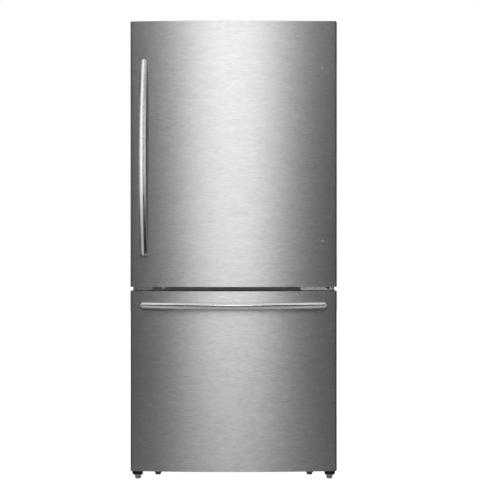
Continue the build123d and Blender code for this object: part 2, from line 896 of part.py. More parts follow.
tongue_low = door_top_z + hinge_gap
roof_high = cabinet_top_z + cover_rise
with BuildPart() as top_hinge:
    base_y = cabinet_y + top_hinge_setback
    mid_x = half_cabinet - top_hinge_width / 2 - 4
    with BuildSketch(level(cabinet_top_z)):
        with Locations((mid_x, base_y + top_hinge_depth / 2)):
            RectangleRounded(top_hinge_width - 8, top_hinge_depth, 8)
        with Locations(*top_screws()):
            Circle(screw_radius + hole_clearance, mode=Mode.SUBTRACT)
    extrude(amount=hinge_plate)
    with BuildSketch(level(cabinet_top_z)):
        span(pin_x - tongue_side, pin_x + hinge_nose, base_y, base_y + hinge_plate)
    extrude(amount=tongue_low + tongue_sheet - cabinet_top_z)
    with BuildSketch(level(tongue_low)):
        span(pin_x - tongue_side, pin_x + hinge_nose, pin_y, base_y + hinge_plate)
        with Locations((pin_x, pin_y)):
            Circle(hinge_nose)
        span(pin_x - tongue_side, pin_x - hinge_nose, pin_y - hinge_nose, pin_y, mode=Mode.SUBTRACT)
    extrude(amount=tongue_sheet)
    with BuildSketch(level(tongue_low + tongue_sheet)):
        with Locations((pin_x, pin_y)):
            Circle(pin_radius)
    extrude(amount=-(tongue_sheet + hinge_gap + pin_reach))

with BuildPart() as top_hinge_cover:
    nose_y = pin_y - hinge_nose - 3
    for inset, mode in ((0, Mode.ADD), (cover_sheet, Mode.SUBTRACT)):
        nose_z = tongue_low + tongue_sheet + hinge_gap / 2 + cover_sheet
        with BuildSketch(Plane.YZ.offset(cap_low_x + inset)):
            with BuildLine():
                Polyline(
                    (nose_y + inset, tongue_low if inset == 0 else cabinet_top_z - 1),
                    (nose_y + inset, nose_z - inset),
                    (cabinet_y, roof_high - inset),
                    (cap_tail_y - 14, roof_high - inset),
                    (cap_tail_y - inset, cabinet_top_z + 6),
                    (cap_tail_y - inset, cabinet_top_z - (1 if inset else 0)),
                    (cabinet_y + 3 - (1 if inset else 0), cabinet_top_z - (1 if inset else 0)),
                )
                if inset == 0:
                    step_y_back = cabinet_y + 3
                    Polyline((step_y_back, cabinet_top_z), (step_y_back, tongue_low), (nose_y, tongue_low))
                else:
                    Line((cabinet_y + 2, cabinet_top_z - 1), (nose_y + inset, cabinet_top_z - 1))
            make_face()
        extrude(amount=cap_high_x - cap_low_x - 2 * inset, mode=mode)

with BuildPart() as hinge_screws:
    front_places = [(x, cabinet_y - hinge_plate) for x in hinge_screw_x]
    front_places += [(-x, cabinet_y) for x in spare_screw_x]
    for x, y in front_places:
        with BuildSketch(front_plane(y)):
            with Locations((x, split_z)):
                RegularPolygon(screw_head_radius, 6)
        extrude(amount=screw_head_height)
        with BuildSketch(front_plane(y)):
            with Locations((x, split_z)):
                Circle(screw_radius)
        extrude(amount=-screw_length)
    with BuildSketch(level(cabinet_top_z + hinge_plate)):
        with Locations(*top_screws()):
            RegularPolygon(screw_head_radius, 6)
    extrude(amount=screw_head_height)
    with BuildSketch(level(cabinet_top_z + hinge_plate)):
        with Locations(*top_screws()):
            Circle(screw_radius)
    extrude(amount=-screw_length)


# ---------------------------------------------------------------- fridge door
door_dike = (half_fridge - dike_gap, fridge_floor_z + dike_gap, fridge_ceiling_z - dike_gap)
bin_half = door_dike[0] - dike_width - 1
bin_lug = dike_width / 3
bin_heights = (door_dike[1] + dike_width + liner_corner + bin_lug, fridge_floor_z + upper_bin_rise)
bin_y = door_back_y + liner_sheet + 0.5
bin_front_y = door_back_y + bin_reach
post_heights = (
    door_z + door_handle_bottom + bottom_fixing,
    door_z + door_handle_bottom + door_handle_length - top_fixing,
)
drawer_handle_z = drawer_top_z - drawer_handle_drop
drawer_posts = drawer_handle_length / 2 - drawer_fixing


def stud_holes(x, heights):
    """Clearance holes for studs and plugs through a door front, at mirrored places."""
    with BuildPart() as holes:
        with BuildSketch(front_plane(edge_y - door_bow)):
            with Locations(*[(side * x, z) for side in (-1, 1) for z in heights]):
                Circle(stud_radius + hole_clearance)
        extrude(amount=-(door_bow + stud_length + 4))
    return holes.part


with BuildPart() as door_skin:
    add(panel_skin(door_z, door_height))
    add(stud_holes(door_handle_fixing_x, post_heights), mode=Mode.SUBTRACT)

with BuildPart() as door_foam:
    add(foam_filling(door_z, door_top_z, *door_dike))
    add(stud_holes(door_handle_fixing_x, post_heights), mode=Mode.SUBTRACT)

with BuildPart() as door_liner:
    add(inner_liner(door_z + 4, door_top_z - 4, *door_dike))
    with BuildSketch(front_plane(door_back_y + liner_sheet / 2)):
        for height in (*bin_heights, dairy_height):
            span(-bin_half - 2, bin_lug - bin_half, height - bin_lug, height)
        for height in bin_heights:
            span(bin_half - bin_lug, bin_half + 2, height - bin_lug, height)
        dairy_end = dairy_width - bin_half
        span(dairy_end - bin_lug, dairy_end + bin_lug, dairy_height - bin_lug, dairy_height)
    extrude(amount=-dike_height + liner_sheet)

with BuildPart() as door_end_caps:
    for outer_z, direction in ((door_z, 1), (door_top_z, -1)):
        add(end_cap(outer_z, direction))
        add(hinge_boss(outer_z, direction))
        add(pin_socket(outer_z, direction), mode=Mode.SUBTRACT)

with BuildPart() as door_gasket:
    add(gasket(door_z + gasket_land, cabinet_top_z - gasket_land))


def door_block(low_z, height):
    """Whole outer volume of a door, used to cut handle posts to its bowed face."""
    with BuildPart() as block:
        with BuildSketch(level(low_z)):
            add(door_plan(0))
        extrude(amount=height)
    return block.part


def posts(places, radius, reach):
    """Round posts that stand on a door front, one per place, cut to its bow."""
    with BuildPart() as group:
        for x, z in places:
            with BuildSketch(front_plane(edge_y + 2)):
                with Locations((x, z)):
                    Circle(radius)
            extrude(amount=edge_y + 2 - door_face_y(x) + reach)
        add(door_block(drawer_z, door_top_z - drawer_z), mode=Mode.SUBTRACT)
    return group.part


def shanks(places, reach):
    """Plain shanks of studs or plugs, from inside the door to a little way out of it."""
    with BuildPart() as group:
        for x, z in places:
            with BuildSketch(front_plane(door_face_y(x) + stud_length)):
                with Locations((x, z)):
                    Circle(stud_radius)
            extrude(amount=stud_length + reach)
    return group.part


with BuildPart() as door_handle:
    bar_y = door_face_y(door_handle_x) - handle_end_gap
    middle_z = door_z + door_handle_bottom + door_handle_length / 2
    upright = Plane(origin=(-door_handle_x, bar_y, middle_z), x_dir=(0, 0, 1), z_dir=(-1, 0, 0))
    for z in post_heights:
        reach = handle_end_gap + bar_rise(door_handle_length, z - middle_z) + handle_thickness / 4
        add(posts([(-door_handle_fixing_x, z)], post_radius, reach))
    add(bowed_bar(door_handle_length, bar_bow(door_handle_length)).moved(upright.location))
    add(shanks([(-door_handle_fixing_x, z) for z in post_heights], handle_end_gap))

with BuildPart() as door_plugs:
    add(posts([(door_handle_fixing_x, z) for z in post_heights], 2 * stud_radius, plug_rise))
    add(shanks([(door_handle_fixing_x, z) for z in post_heights], 1))

with BuildPart() as door_bins:
    for height in bin_heights:
        add(rounded_tub(bin_half, bin_y, bin_front_y, height, height + bin_depth, bin_wall, 2, 12))

lid_pivot = (bin_y + 12, dairy_height + dairy_depth + 42)
dairy_x = dairy_width / 2 - bin_half
with BuildPart() as dairy_bin:
    tub = rounded_tub(
        dairy_width / 2, bin_y, bin_front_y, dairy_height, dairy_height + dairy_depth, bin_wall, 2, 8
    )
    add(tub.moved(Location((dairy_x, 0, 0))))
    for side in (-1, 1):
        with BuildSketch(Plane.YZ.offset(dairy_x + side * dairy_width / 2)):
            span(bin_y + 8, lid_pivot[0] + 9, dairy_height + dairy_depth - 8, lid_pivot[1])
            with Locations(lid_pivot):
                Circle(9)
                Circle(shaft_radius + pin_clearance, mode=Mode.SUBTRACT)
        extrude(amount=-side * bin_wall)

with BuildPart() as dairy_lid:
    half_lid = dairy_width / 2 - bin_wall - 0.5
    pivot_y, pivot_z = lid_pivot
    front = bin_front_y - pivot_y - 1
    drop = pivot_z - dairy_height - dairy_depth - 0.6
    rear = (pivot_y - 5, pivot_z + 5)
    crown = (pivot_y + front * 0.7, pivot_z - 4)
    lip = (pivot_y + front, pivot_z - drop)
    thin = bin_wall * 0.7
    with BuildSketch(Plane.YZ.offset(dairy_x - half_lid)):
        with BuildLine():
            ThreePointArc(rear, crown, lip)
            Line(lip, (lip[0] - bin_wall, lip[1]))
            ThreePointArc(
                (lip[0] - bin_wall, lip[1]), (crown[0] - thin, crown[1] - thin), (rear[0], rear[1] - bin_wall)
            )
            Line((rear[0], rear[1] - bin_wall), rear)
        make_face()
    extrude(amount=2 * half_lid)
    for side in (-1, 1):
        with BuildSketch(Plane.YZ.offset(dairy_x + side * half_lid)):
            with BuildLine():
                ThreePointArc(rear, crown, lip)
                Polyline(lip, (rear[0], pivot_z - 5), rear)
            make_face()
        extrude(amount=-side * bin_wall)
        with BuildSketch(Plane.YZ.offset(dairy_x + side * (half_lid - bin_wall))):
            with Locations(lid_pivot):
                Circle(shaft_radius)
        extrude(amount=side * (2 * bin_wall + 0.5))

# ---------------------------------------------------------------- freezer drawer
drawer_dike = (half_freezer - dike_gap, freezer_floor_z + dike_gap, freezer_ceiling_z - dike_gap)
dike_crest_y = door_back_y + dike_height
outer_half = slide_section / 2
middle_half = outer_half - slide_sheet - slide_gap
inner_half = middle_half - slide_sheet - slide_gap
middle_x = half_freezer - slide_sheet - slide_gap
inner_x = middle_x - slide_sheet - slide_gap
arm_x = inner_x - slide_section / 4
ledge_z = slide_height + ledge_rise

with BuildPart() as drawer_skin:
    add(panel_skin(drawer_z, drawer_height))
    add(stud_holes(drawer_posts, (drawer_handle_z,)), mode=Mode.SUBTRACT)

with BuildPart() as drawer_foam:
    add(foam_filling(drawer_z, drawer_top_z, *drawer_dike))
    add(stud_holes(drawer_posts, (drawer_handle_z,)), mode=Mode.SUBTRACT)

with BuildPart() as drawer_liner:
    add(inner_liner(drawer_z + 4, drawer_top_z - 4, *drawer_dike))

with BuildPart() as drawer_end_caps:
    for outer_z, direction in ((drawer_z, 1), (drawer_top_z, -1)):
        add(end_cap(outer_z, direction))

with BuildPart() as drawer_gasket:
    add(gasket(deck_z + gasket_land - 6, drawer_top_z - gasket_land))

with BuildPart() as drawer_handle:
    bar_y = door_face_y(drawer_handle_length / 2) - handle_end_gap
    places = [(side * drawer_posts, drawer_handle_z) for side in (-1, 1)]
    reach = handle_end_gap + bar_rise(drawer_handle_length, drawer_posts) + handle_thickness / 4
    add(posts(places, post_radius, reach))
    bar_place = Location((0, bar_y, drawer_handle_z))
    add(bowed_bar(drawer_handle_length, bar_bow(drawer_handle_length)).moved(bar_place))
    add(shanks(places, handle_end_gap))

with BuildPart() as freezer_slide_rails:
    add(slide_member(half_freezer, outer_half * 0.55, outer_half, slide_y, True))
    mirror(about=Plane.YZ)

with BuildPart() as slide_members:
    add(slide_member(middle_x, outer_half * 0.5, middle_half, slide_y, True))
    mirror(about=Plane.YZ)

with BuildPart() as drawer_slide_arms:
    add(slide_member(inner_x, slide_section / 4, inner_half, slide_y, False))
    with BuildSketch(front_plane(dike_crest_y)):
        span(arm_x, arm_x + slide_sheet, slide_height - inner_half, slide_height + inner_half)
    extrude(amount=-(slide_y - dike_crest_y + 1))
    with BuildSketch(front_plane(dike_crest_y)):
        tab_low = slide_height - slide_section / 2
        tab_x = drawer_dike[0] - dike_width + arm_margin
        span(tab_x, drawer_dike[0] - arm_margin, tab_low, tab_low + 1.4 * slide_section)
    extrude(amount=-slide_sheet)
    with BuildSketch(front_plane(dike_crest_y)):
        span(arm_x - ledge_width, arm_x + slide_sheet, ledge_z - slide_sheet, ledge_z)
    extrude(amount=-(slide_y + slide_length - dike_crest_y))
    mirror(about=Plane.YZ)


def slots_along(length):
    """How many basket slots fit in a wall between its rounded ends."""
    return int((length - basket_slot_width - 30) / basket_slot_pitch)


with BuildPart() as freezer_basket:
    lip_half = arm_x - ledge_width / 2 - 1
    tub_half = arm_x - ledge_width - 3
    low_y = basket_y
    lip_z = ledge_z + tray_wall
    basket_floor = freezer_floor_z + basket_lift
    add(rounded_tub(tub_half, low_y + 8, low_y + basket_depth - 8, basket_floor, lip_z, tray_wall, 1.5, 18))
    with BuildSketch(level(ledge_z)):
        with Locations((0, low_y + basket_depth / 2)):
            RectangleRounded(2 * lip_half, basket_depth, 20)
            mouth = basket_depth - 16 - 2 * tray_wall
            RectangleRounded(2 * (tub_half - tray_wall), mouth, 16, mode=Mode.SUBTRACT)
    extrude(amount=tray_wall)
    slot_height = (lip_z - basket_floor) * 0.55
    with BuildSketch(front_plane(low_y - 5)):
        with Locations((0, (lip_z + basket_floor) / 2)):
            with GridLocations(basket_slot_pitch, 1, slots_along(2 * tub_half), 1):
                Rectangle(basket_slot_width, slot_height)
    extrude(amount=-(basket_depth + 10), mode=Mode.SUBTRACT)
    with BuildSketch(Plane.YZ.offset(-half_freezer)):
        with Locations((low_y + basket_depth / 2, (lip_z + basket_floor) / 2)):
            with GridLocations(basket_slot_pitch, 1, slots_along(basket_depth - 16), 1):
                Rectangle(basket_slot_width, slot_height)
    extrude(amount=2 * half_freezer, mode=Mode.SUBTRACT)

with BuildPart() as freezer_tray:
    tray_half = arm_x - 2
    tray_y = basket_y
    tray_z = slide_height + inner_half + 2
    tray_back_y = tray_y + basket_depth - tray_short
    add(rounded_tub(tray_half, tray_y, tray_back_y, tray_z, tray_z + tray_height, tray_wall, 1.5, 18))
    with BuildSketch(level(ledge_z + seat_gap)):
        for side in (-1, 1):
            leg = sorted((side * (arm_x - 2), side * (arm_x - ledge_width / 2 + 0.5)))
            span(*leg, tray_y + 16, tray_back_y - 16)
    extrude(amount=tray_z + tray_wall - ledge_z - seat_gap)


# ---------------------------------------------------------------- fresh food compartment
half_frame = half_fridge - frame_side_gap


def shelf_frame(top_z):
    """Moulded frame around a glass pane, with the seat for the pane in its top."""
    with BuildPart() as frame:
        with BuildSketch(level(top_z)):
            span(-half_frame, half_frame, shelf_y, shelf_y + shelf_depth)
            inner = half_frame - frame_band
            span(-inner, inner, shelf_y + frame_band, shelf_y + shelf_depth - frame_band, mode=Mode.SUBTRACT)
        extrude(amount=-shelf_frame_height)
        with BuildSketch(level(top_z)):
            seat = half_frame - glass_seat
            span(-seat, seat, shelf_y + glass_seat, shelf_y + shelf_depth - glass_seat)
        extrude(amount=-glass_sheet, mode=Mode.SUBTRACT)
        front_edges = frame.edges().filter_by(Axis.X).group_by(Axis.Y)[0]
        fillet(front_edges, 4)
    return frame.part


with BuildPart() as shelf_frames:
    for height in shelf_heights:
        add(shelf_frame(height))

with BuildPart() as shelf_glass:
    for height in (crisper_cover_height, *shelf_heights):
        with BuildSketch(level(height)):
            seat = half_frame - glass_seat - hole_clearance
            low_y = shelf_y + glass_seat + hole_clearance
            span(-seat, seat, low_y, shelf_y + shelf_depth - glass_seat - hole_clearance)
        extrude(amount=-glass_sheet)

crisper_half = (half_fridge - crisper_side_gap - crisper_centre_gap) / 2
crisper_x = crisper_centre_gap + crisper_half
crisper_top_z = crisper_cover_height - shelf_frame_height - crisper_top_gap
rail_foot_z = crisper_top_z - lip_sheet - seat_gap - lip_sheet
slot_y = shelf_y + glass_seat / 2 + 1
pocket_y = shelf_y + frame_band / 2
pocket_depth = frame_band - 10
web_z = crisper_cover_height - glass_sheet - lip_sheet

with BuildPart() as crisper_frame:
    add(shelf_frame(crisper_cover_height))
    frame_bottom = crisper_cover_height - shelf_frame_height
    rail_y = shelf_y + 6
    with BuildSketch(front_plane(rail_y)):
        outer_lip = crisper_x + crisper_half
        for side in (-1, 1):
            web = sorted((side * (outer_lip + 2), side * (outer_lip + 5)))
            foot = sorted((side * (outer_lip - crisper_lip + 2), side * (outer_lip + 5)))
            span(*web, rail_foot_z, frame_bottom)
            span(*foot, rail_foot_z, rail_foot_z + lip_sheet)
        span(-3, 3, rail_foot_z, frame_bottom)
        foot_half = crisper_centre_gap + crisper_lip - 2
        span(-foot_half, foot_half, rail_foot_z, rail_foot_z + lip_sheet)
    extrude(amount=-(shelf_depth - 12))
    with BuildSketch(level(crisper_cover_height - glass_sheet)):
        span(-2 * lip_sheet, 2 * lip_sheet, shelf_y + frame_band - 1, shelf_y + shelf_depth - frame_band + 1)
    extrude(amount=glass_sheet - shelf_frame_height)
    for side in (-1, 1):
        pocket_x = side * crisper_x
        with BuildSketch(level(frame_bottom)):
            with Locations((pocket_x, pocket_y)):
                Rectangle(2 * slider_slot, pocket_depth)
        extrude(amount=shelf_frame_height - glass_sheet - lip_sheet, mode=Mode.SUBTRACT)
        with BuildSketch(level(frame_bottom)):
            with Locations((pocket_x, slot_y)):
                Rectangle(slider_slot, slot_width)
        extrude(amount=shelf_frame_height + 1, mode=Mode.SUBTRACT)


def humidity_slider(x):
    """Sliding vent knob: finger tab above the frame, stem in the slot, catch below."""
    stem = slider_slot - 2 * slider_travel - 4
    with BuildPart() as slider:
        with BuildSketch(level(crisper_cover_height + seat_gap)):
            with Locations((x, slot_y)):
                RectangleRounded(24, 11, 3)
        extrude(amount=4)
        with BuildSketch(level(web_z - 2 - seat_gap)):
            with Locations((x, slot_y)):
                Rectangle(stem, slot_width - 2 * seat_gap)
        extrude(amount=crisper_cover_height - web_z + 2 + 2 * seat_gap + 1)
        with BuildSketch(level(web_z - 2 - seat_gap)):
            with Locations((x, pocket_y)):
                Rectangle(2 * stem, pocket_depth - 2 * seat_gap)
        extrude(amount=2)
    return slider.part


with BuildPart() as humidity_slider_left:
    add(humidity_slider(-crisper_x))

with BuildPart() as humidity_slider_right:
    add(humidity_slider(crisper_x))


def crisper(x):
    """Tapered produce drawer with a sliding lip on both sides and a pull across its front."""
    low_y = crisper_y + 10
    high_y = crisper_y + crisper_length
    tub_half = crisper_half - crisper_lip
    with BuildPart() as drawer:
        tub = rounded_tub(
            tub_half, low_y, high_y, fridge_floor_z + crisper_lift, crisper_top_z, crisper_wall, 2, 14
        )
        add(tub.moved(Location((x, 0, 0))))
        with BuildSketch(level(crisper_top_z)):
            span(x - crisper_half, x + crisper_half, low_y - 10, high_y)
            inner = tub_half - crisper_wall
            with Locations((x, (low_y + high_y) / 2)):
                RectangleRounded(
                    2 * inner, high_y - low_y - 2 * crisper_wall, 14 - crisper_wall, mode=Mode.SUBTRACT
                )
        extrude(amount=-lip_sheet)
        with BuildSketch(front_plane(low_y - 10)):
            span(x - tub_half, x + tub_half, crisper_top_z - 26, crisper_top_z)
        extrude(amount=-lip_sheet)
    return drawer.part


with BuildPart() as crisper_left:
    add(crisper(-crisper_x))

with BuildPart() as crisper_right:
    add(crisper(crisper_x))

control_y = cabinet_y + control_front
control_low_z = fridge_ceiling_z - control_height
button_z = fridge_ceiling_z - control_height / 2
with BuildPart() as control_housing:
    with BuildSketch(Plane.YZ.offset(-control_width / 2)):
        with BuildLine():
            Polyline(
                (control_y, fridge_ceiling_z),
                (control_y, control_low_z + 5),
                (control_y + 5, control_low_z),
                (control_y + control_depth - 16, control_low_z),
                (control_y + control_depth, fridge_ceiling_z),
                (control_y, fridge_ceiling_z),
            )
        make_face()
    extrude(amount=control_width)
    offset(amount=-control_wall, openings=control_housing.faces().sort_by(Axis.Z)[-1])
    with BuildSketch(front_plane(control_y - 1)):
        with Locations((0, button_z)):
            with GridLocations(button_spacing, 1, 2, 1):
                Rectangle(button_width + 2 * hole_clearance, button_height + 2 * hole_clearance)
    extrude(amount=-control_wall - 2, mode=Mode.SUBTRACT)
    lens_y = control_y + control_depth * 0.55
    with BuildSketch(level(control_low_z - 1)):
        with Locations((0, lens_y)):
            Rectangle(lens_length + 2 * hole_clearance, lens_width + 2 * hole_clearance)
    extrude(amount=control_wall + 2, mode=Mode.SUBTRACT)
    board_y = control_y + control_wall + 3 + button_travel + hole_clearance
    with BuildSketch(front_plane(board_y)):
        span(-button_spacing, button_spacing, control_low_z + control_wall / 2, fridge_ceiling_z - 4)
    extrude(amount=-2)

with BuildPart() as lamp_lens:
    with BuildSketch(level(control_low_z)):
        with Locations((0, lens_y)):
            Rectangle(lens_length, lens_width)
    extrude(amount=control_wall)
    with BuildSketch(level(control_low_z + control_wall)):
        with Locations((0, lens_y)):
            Rectangle(lens_length + 8, lens_width + 8)
    extrude(amount=1.5)


def control_button(x):
    """Push button: rounded cap through the front wall and a flange that holds it in."""
    with BuildPart() as button:
        with BuildSketch(front_plane(control_y - 2.5)):
            with Locations((x, button_z)):
                RectangleRounded(button_width, button_height, 2)
        extrude(amount=-control_wall - 2.5 - hole_clearance)
        with BuildSketch(front_plane(control_y + control_wall + hole_clearance)):
            with Locations((x, button_z)):
                Rectangle(button_width + 5, button_height + 5)
        extrude(amount=-1.2)
        with BuildSketch(front_plane(control_y + control_wall + hole_clearance)):
            with Locations((x, button_z)):
                Circle(shaft_radius)
        extrude(amount=-2.6)
    return button.part


with BuildPart() as colder_button:
    add(control_button(-button_spacing / 2))

with BuildPart() as warmer_button:
    add(control_button(button_spacing / 2))

with BuildPart() as air_duct:
    with BuildSketch(front_plane(fridge_back_y - duct_depth)):
        with Locations((0, (crisper_cover_height + fridge_ceiling_z) / 2)):
            RectangleRounded(duct_width, (fridge_ceiling_z - crisper_cover_height) * 0.84, 16)
    extrude(amount=-duct_depth)
    offset(amount=-2, openings=air_duct.faces().sort_by(Axis.Y)[-1])
    with BuildSketch(front_plane(fridge_back_y - duct_depth - 1)):
        for height in (shelf_heights[0] - 60, shelf_heights[0] + 90, shelf_heights[1] + 90):
            with Locations((0, height)):
                with GridLocations(120, 10, 2, 3):
                    Rectangle(60, 5)
    extrude(amount=-4, mode=Mode.SUBTRACT)

# ---------------------------------------------------------------- cooling circuit
cover_half = half_freezer - seat_gap
cover_low_z = step_z + seat_gap
cover_high_z = freezer_ceiling_z - seat_gap
fan_y = cover_y + cover_panel + shroud_front
with BuildPart() as evaporator_cover:
    with BuildSketch(front_plane(cover_y)):
        span(-cover_half, cover_half, cover_low_z, cover_high_z)
        rows = int(0.9 * fan_radius / fan_row)
        for row in range(-rows, rows + 1):
            half_slot = sqrt(fan_radius**2 - (row * fan_row) ** 2)
            with Locations((0, fan_height + row * fan_row)):
                Rectangle(2 * half_slot, fan_row / 2, mode=Mode.SUBTRACT)
        with Locations((0, step_z + 24)):
            with GridLocations(52, 1, 10, 1):
                Rectangle(40, 12, mode=Mode.SUBTRACT)
    extrude(amount=-cover_panel)
    with BuildSketch(front_plane(cover_y)):
        span(-cover_half, cover_half, cover_low_z, cover_high_z)
        inner = cover_half - cover_panel
        span(-inner, inner, step_z, cover_high_z - cover_panel, mode=Mode.SUBTRACT)
    extrude(amount=-cover_return)
    fan_place = Plane(origin=(0, fan_y, fan_height), x_dir=(1, 0, 0), z_dir=(0, -1, 0))
    add(fan_motor(fan_radius).moved(fan_place.location))

with BuildPart() as evaporator_fan:
    blades = fan_blades(5, fan_radius, fan_hub, fan_depth, shaft_radius + pin_clearance)
    add(blades.moved(fan_place.location))

with BuildPart() as evaporator_coil:
    shroud_low_z = fan_height - fan_radius - shroud_gap - shroud_sheet
    coil_height = shroud_low_z - evaporator_top_gap - coil_plate_edge - evaporator_leg - step_z
    coil = finned_coil(evaporator_length, evaporator_depth, coil_height, evaporator_leg)
    add(coil.moved(Location((0, cover_y + evaporator_gap, step_z))))

plate_z = cabinet_low_z + deck_sheet
machine_middle_y = (machine_y + panel_y) / 2
compressor_x = compressor_side - half_cabinet
compressor_foot = 1.3 * compressor_radius
fan_space = machine_gap + 2 * (motor_length + fan_depth)
condenser_length = half_cabinet - condenser_side - compressor_x - compressor_foot - fan_space


with BuildPart() as compressor:
    can_z = plate_z + grommet_height + seat_gap
    with BuildSketch(level(can_z)):
        with Locations((compressor_x, machine_middle_y)):
            Circle(compressor_radius)
    extrude(amount=compressor_height)
    fillet(compressor.edges().sort_by(Axis.Z)[-1], compressor_radius * 0.6)
    fillet(compressor.edges().sort_by(Axis.Z)[0], compressor_radius * 0.25)
    with BuildSketch(level(can_z + compressor_wall)):
        with Locations((compressor_x, machine_middle_y)):
            Circle(compressor_radius - compressor_wall)
    extrude(amount=compressor_height - 2 * compressor_wall - compressor_radius * 0.2, mode=Mode.SUBTRACT)
    with BuildSketch(level(plate_z + grommet_height)):
        with Locations((compressor_x, machine_middle_y)):
            RectangleRounded(2 * compressor_foot, 1.9 * compressor_radius, 10)
    extrude(amount=3.5)
    with BuildSketch(level(plate_z)):
        with Locations((compressor_x, machine_middle_y)):
            with GridLocations(2.2 * compressor_radius, 1.5 * compressor_radius, 2, 2):
                Circle(10)
    extrude(amount=grommet_height)

coil_x = half_cabinet - condenser_side - condenser_length / 2
with BuildPart() as drain_pan:
    with BuildSketch(level(plate_z)):
        with Locations((coil_x, machine_middle_y)):
            RectangleRounded(condenser_length - 16, pan_width, 10)
    extrude(amount=pan_height)
    offset(amount=-2, openings=drain_pan.faces().sort_by(Axis.Z)[-1])

with BuildPart() as condenser_coil:
    coil = finned_coil(condenser_length, condenser_depth, condenser_height, condenser_leg)
    add(coil.moved(Location((coil_x, machine_middle_y - condenser_depth / 2, plate_z))))

condenser_fan_x = coil_x - condenser_length / 2 - motor_length - fan_depth
condenser_fan_z = plate_z + condenser_fan_radius + 24
with BuildPart() as condenser_fan_motor:
    condenser_place = Plane(
        origin=(condenser_fan_x, machine_middle_y, condenser_fan_z), x_dir=(0, 1, 0), z_dir=(1, 0, 0)
    )
    add(fan_motor(condenser_fan_radius).moved(condenser_place.location))
    shroud_half = condenser_fan_radius + 14
    with BuildSketch(Plane.YZ.offset(condenser_fan_x - fan_depth - 3)):
        low_y = machine_middle_y - shroud_half
        span(low_y, low_y + 2 * shroud_half, plate_z, condenser_fan_z + shroud_half)
        with Locations((machine_middle_y, condenser_fan_z)):
            Circle(condenser_fan_radius + shroud_gap, mode=Mode.SUBTRACT)
    extrude(amount=2)

with BuildPart() as condenser_fan:
    blades = fan_blades(4, condenser_fan_radius, condenser_hub, fan_depth, shaft_radius + pin_clearance)
    add(blades.moved(condenser_place.location))

with BuildPart() as machine_cover:
    low_z = cabinet_low_z + deck_height
    with BuildSketch(front_plane(back_y - 2)):
        span(3 - half_lining, half_lining - 3, low_z, machine_top_z - 0.5)
        for side in (-1, 1):
            for height in (0.3, 0.7):
                with Locations((side * half_lining / 2, low_z + height * (machine_top_z - low_z))):
                    with GridLocations(22, 1, 13, 1):
                        Rectangle(8, 70, mode=Mode.SUBTRACT)
    extrude(amount=-2)

# ---------------------------------------------------------------- feet and rollers
with BuildPart() as front_roller_left:
    add(caster_roller(-front_roller_x, front_roller_y, roller_axle_z))

with BuildPart() as front_roller_right:
    add(caster_roller(front_roller_x, front_roller_y, roller_axle_z))

with BuildPart() as rear_roller_left:
    add(caster_roller(-rear_roller_x, rear_roller_y, roller_radius))

with BuildPart() as rear_roller_right:
    add(caster_roller(rear_roller_x, rear_roller_y, roller_radius))


def levelling_foot(x):
    """Foot turned about its stud: barrel pad, adjusting disc and shank in one piece."""
    with BuildPart() as foot:
        with BuildSketch(Plane.XZ):
            with BuildLine():
                Polyline((0, 0), (pad_radius - 2, 0))
                ThreePointArc(
                    (pad_radius - 2, 0), (pad_radius, pad_height / 2), (pad_radius - 2, pad_height)
                )
                Polyline(
                    (pad_radius - 2, pad_height),
                    (disc_radius - 1, pad_height),
                    (disc_radius, pad_height + 1),
                    (disc_radius, disc_top_z - 1),
                    (disc_radius - 1, disc_top_z),
                    (stud_foot_radius, disc_top_z),
                    (stud_foot_radius, drawer_z - leg_gap - 1),
                    (0, drawer_z - leg_gap - 1),
                    (0, 0),
                )
            make_face()
        revolve(axis=Axis.Z)
    return foot.part.moved(Location((x, foot_y, 0)))


with BuildPart() as foot_left:
    add(levelling_foot(-foot_x))

with BuildPart() as foot_right:
    add(levelling_foot(foot_x))

# ---------------------------------------------------------------- output
pieces = {
    "cabinet_shell": cabinet_shell,
    "back_panel": back_panel,
    "mullion_rail": mullion_rail,
    "fridge_liner": fridge_liner,
    "freezer_liner": freezer_liner,
    "cabinet_foam": cabinet_foam,
    "base_frame": base_frame,
    "centre_hinge": centre_hinge,
    "hinge_hole_cover": hinge_hole_cover,
    "top_hinge": top_hinge,
    "top_hinge_cover": top_hinge_cover,
    "hinge_screws": hinge_screws,
    "machine_cover": machine_cover,
    "compressor": compressor,
    "condenser_coil": condenser_coil,
    "condenser_fan_motor": condenser_fan_motor,
    "drain_pan": drain_pan,
    "evaporator_coil": evaporator_coil,
    "evaporator_cover": evaporator_cover,
    "air_duct": air_duct,
    "control_housing": control_housing,
    "lamp_lens": lamp_lens,
    "shelf_glass": shelf_glass,
    "shelf_frames": shelf_frames,
    "crisper_frame": crisper_frame,
    "freezer_slide_rails": freezer_slide_rails,
    "door_skin": door_skin,
    "door_foam": door_foam,
    "door_liner": door_liner,
    "door_gasket": door_gasket,
    "door_end_caps": door_end_caps,
    "door_handle": door_handle,
    "door_plugs": door_plugs,
    "door_bins": door_bins,
    "dairy_bin": dairy_bin,
    "dairy_lid": dairy_lid,
    "drawer_skin": drawer_skin,
    "drawer_foam": drawer_foam,
    "drawer_liner": drawer_liner,
    "drawer_gasket": drawer_gasket,
    "drawer_end_caps": drawer_end_caps,
    "drawer_handle": drawer_handle,
    "drawer_slide_arms": drawer_slide_arms,
    "freezer_basket": freezer_basket,
    "slide_members": slide_members,
    "freezer_tray": freezer_tray,
    "crisper_left": crisper_left,
    "crisper_right": crisper_right,
    "humidity_slider_left": humidity_slider_left,
    "humidity_slider_right": humidity_slider_right,
    "evaporator_fan": evaporator_fan,
    "condenser_fan": condenser_fan,
    "front_roller_left": front_roller_left,
    "front_roller_right": front_roller_right,
    "rear_roller_left": rear_roller_left,
    "rear_roller_right": rear_roller_right,
    "foot_left": foot_left,
    "foot_right": foot_right,
    "colder_button": colder_button,
    "warmer_button": warmer_button,
}

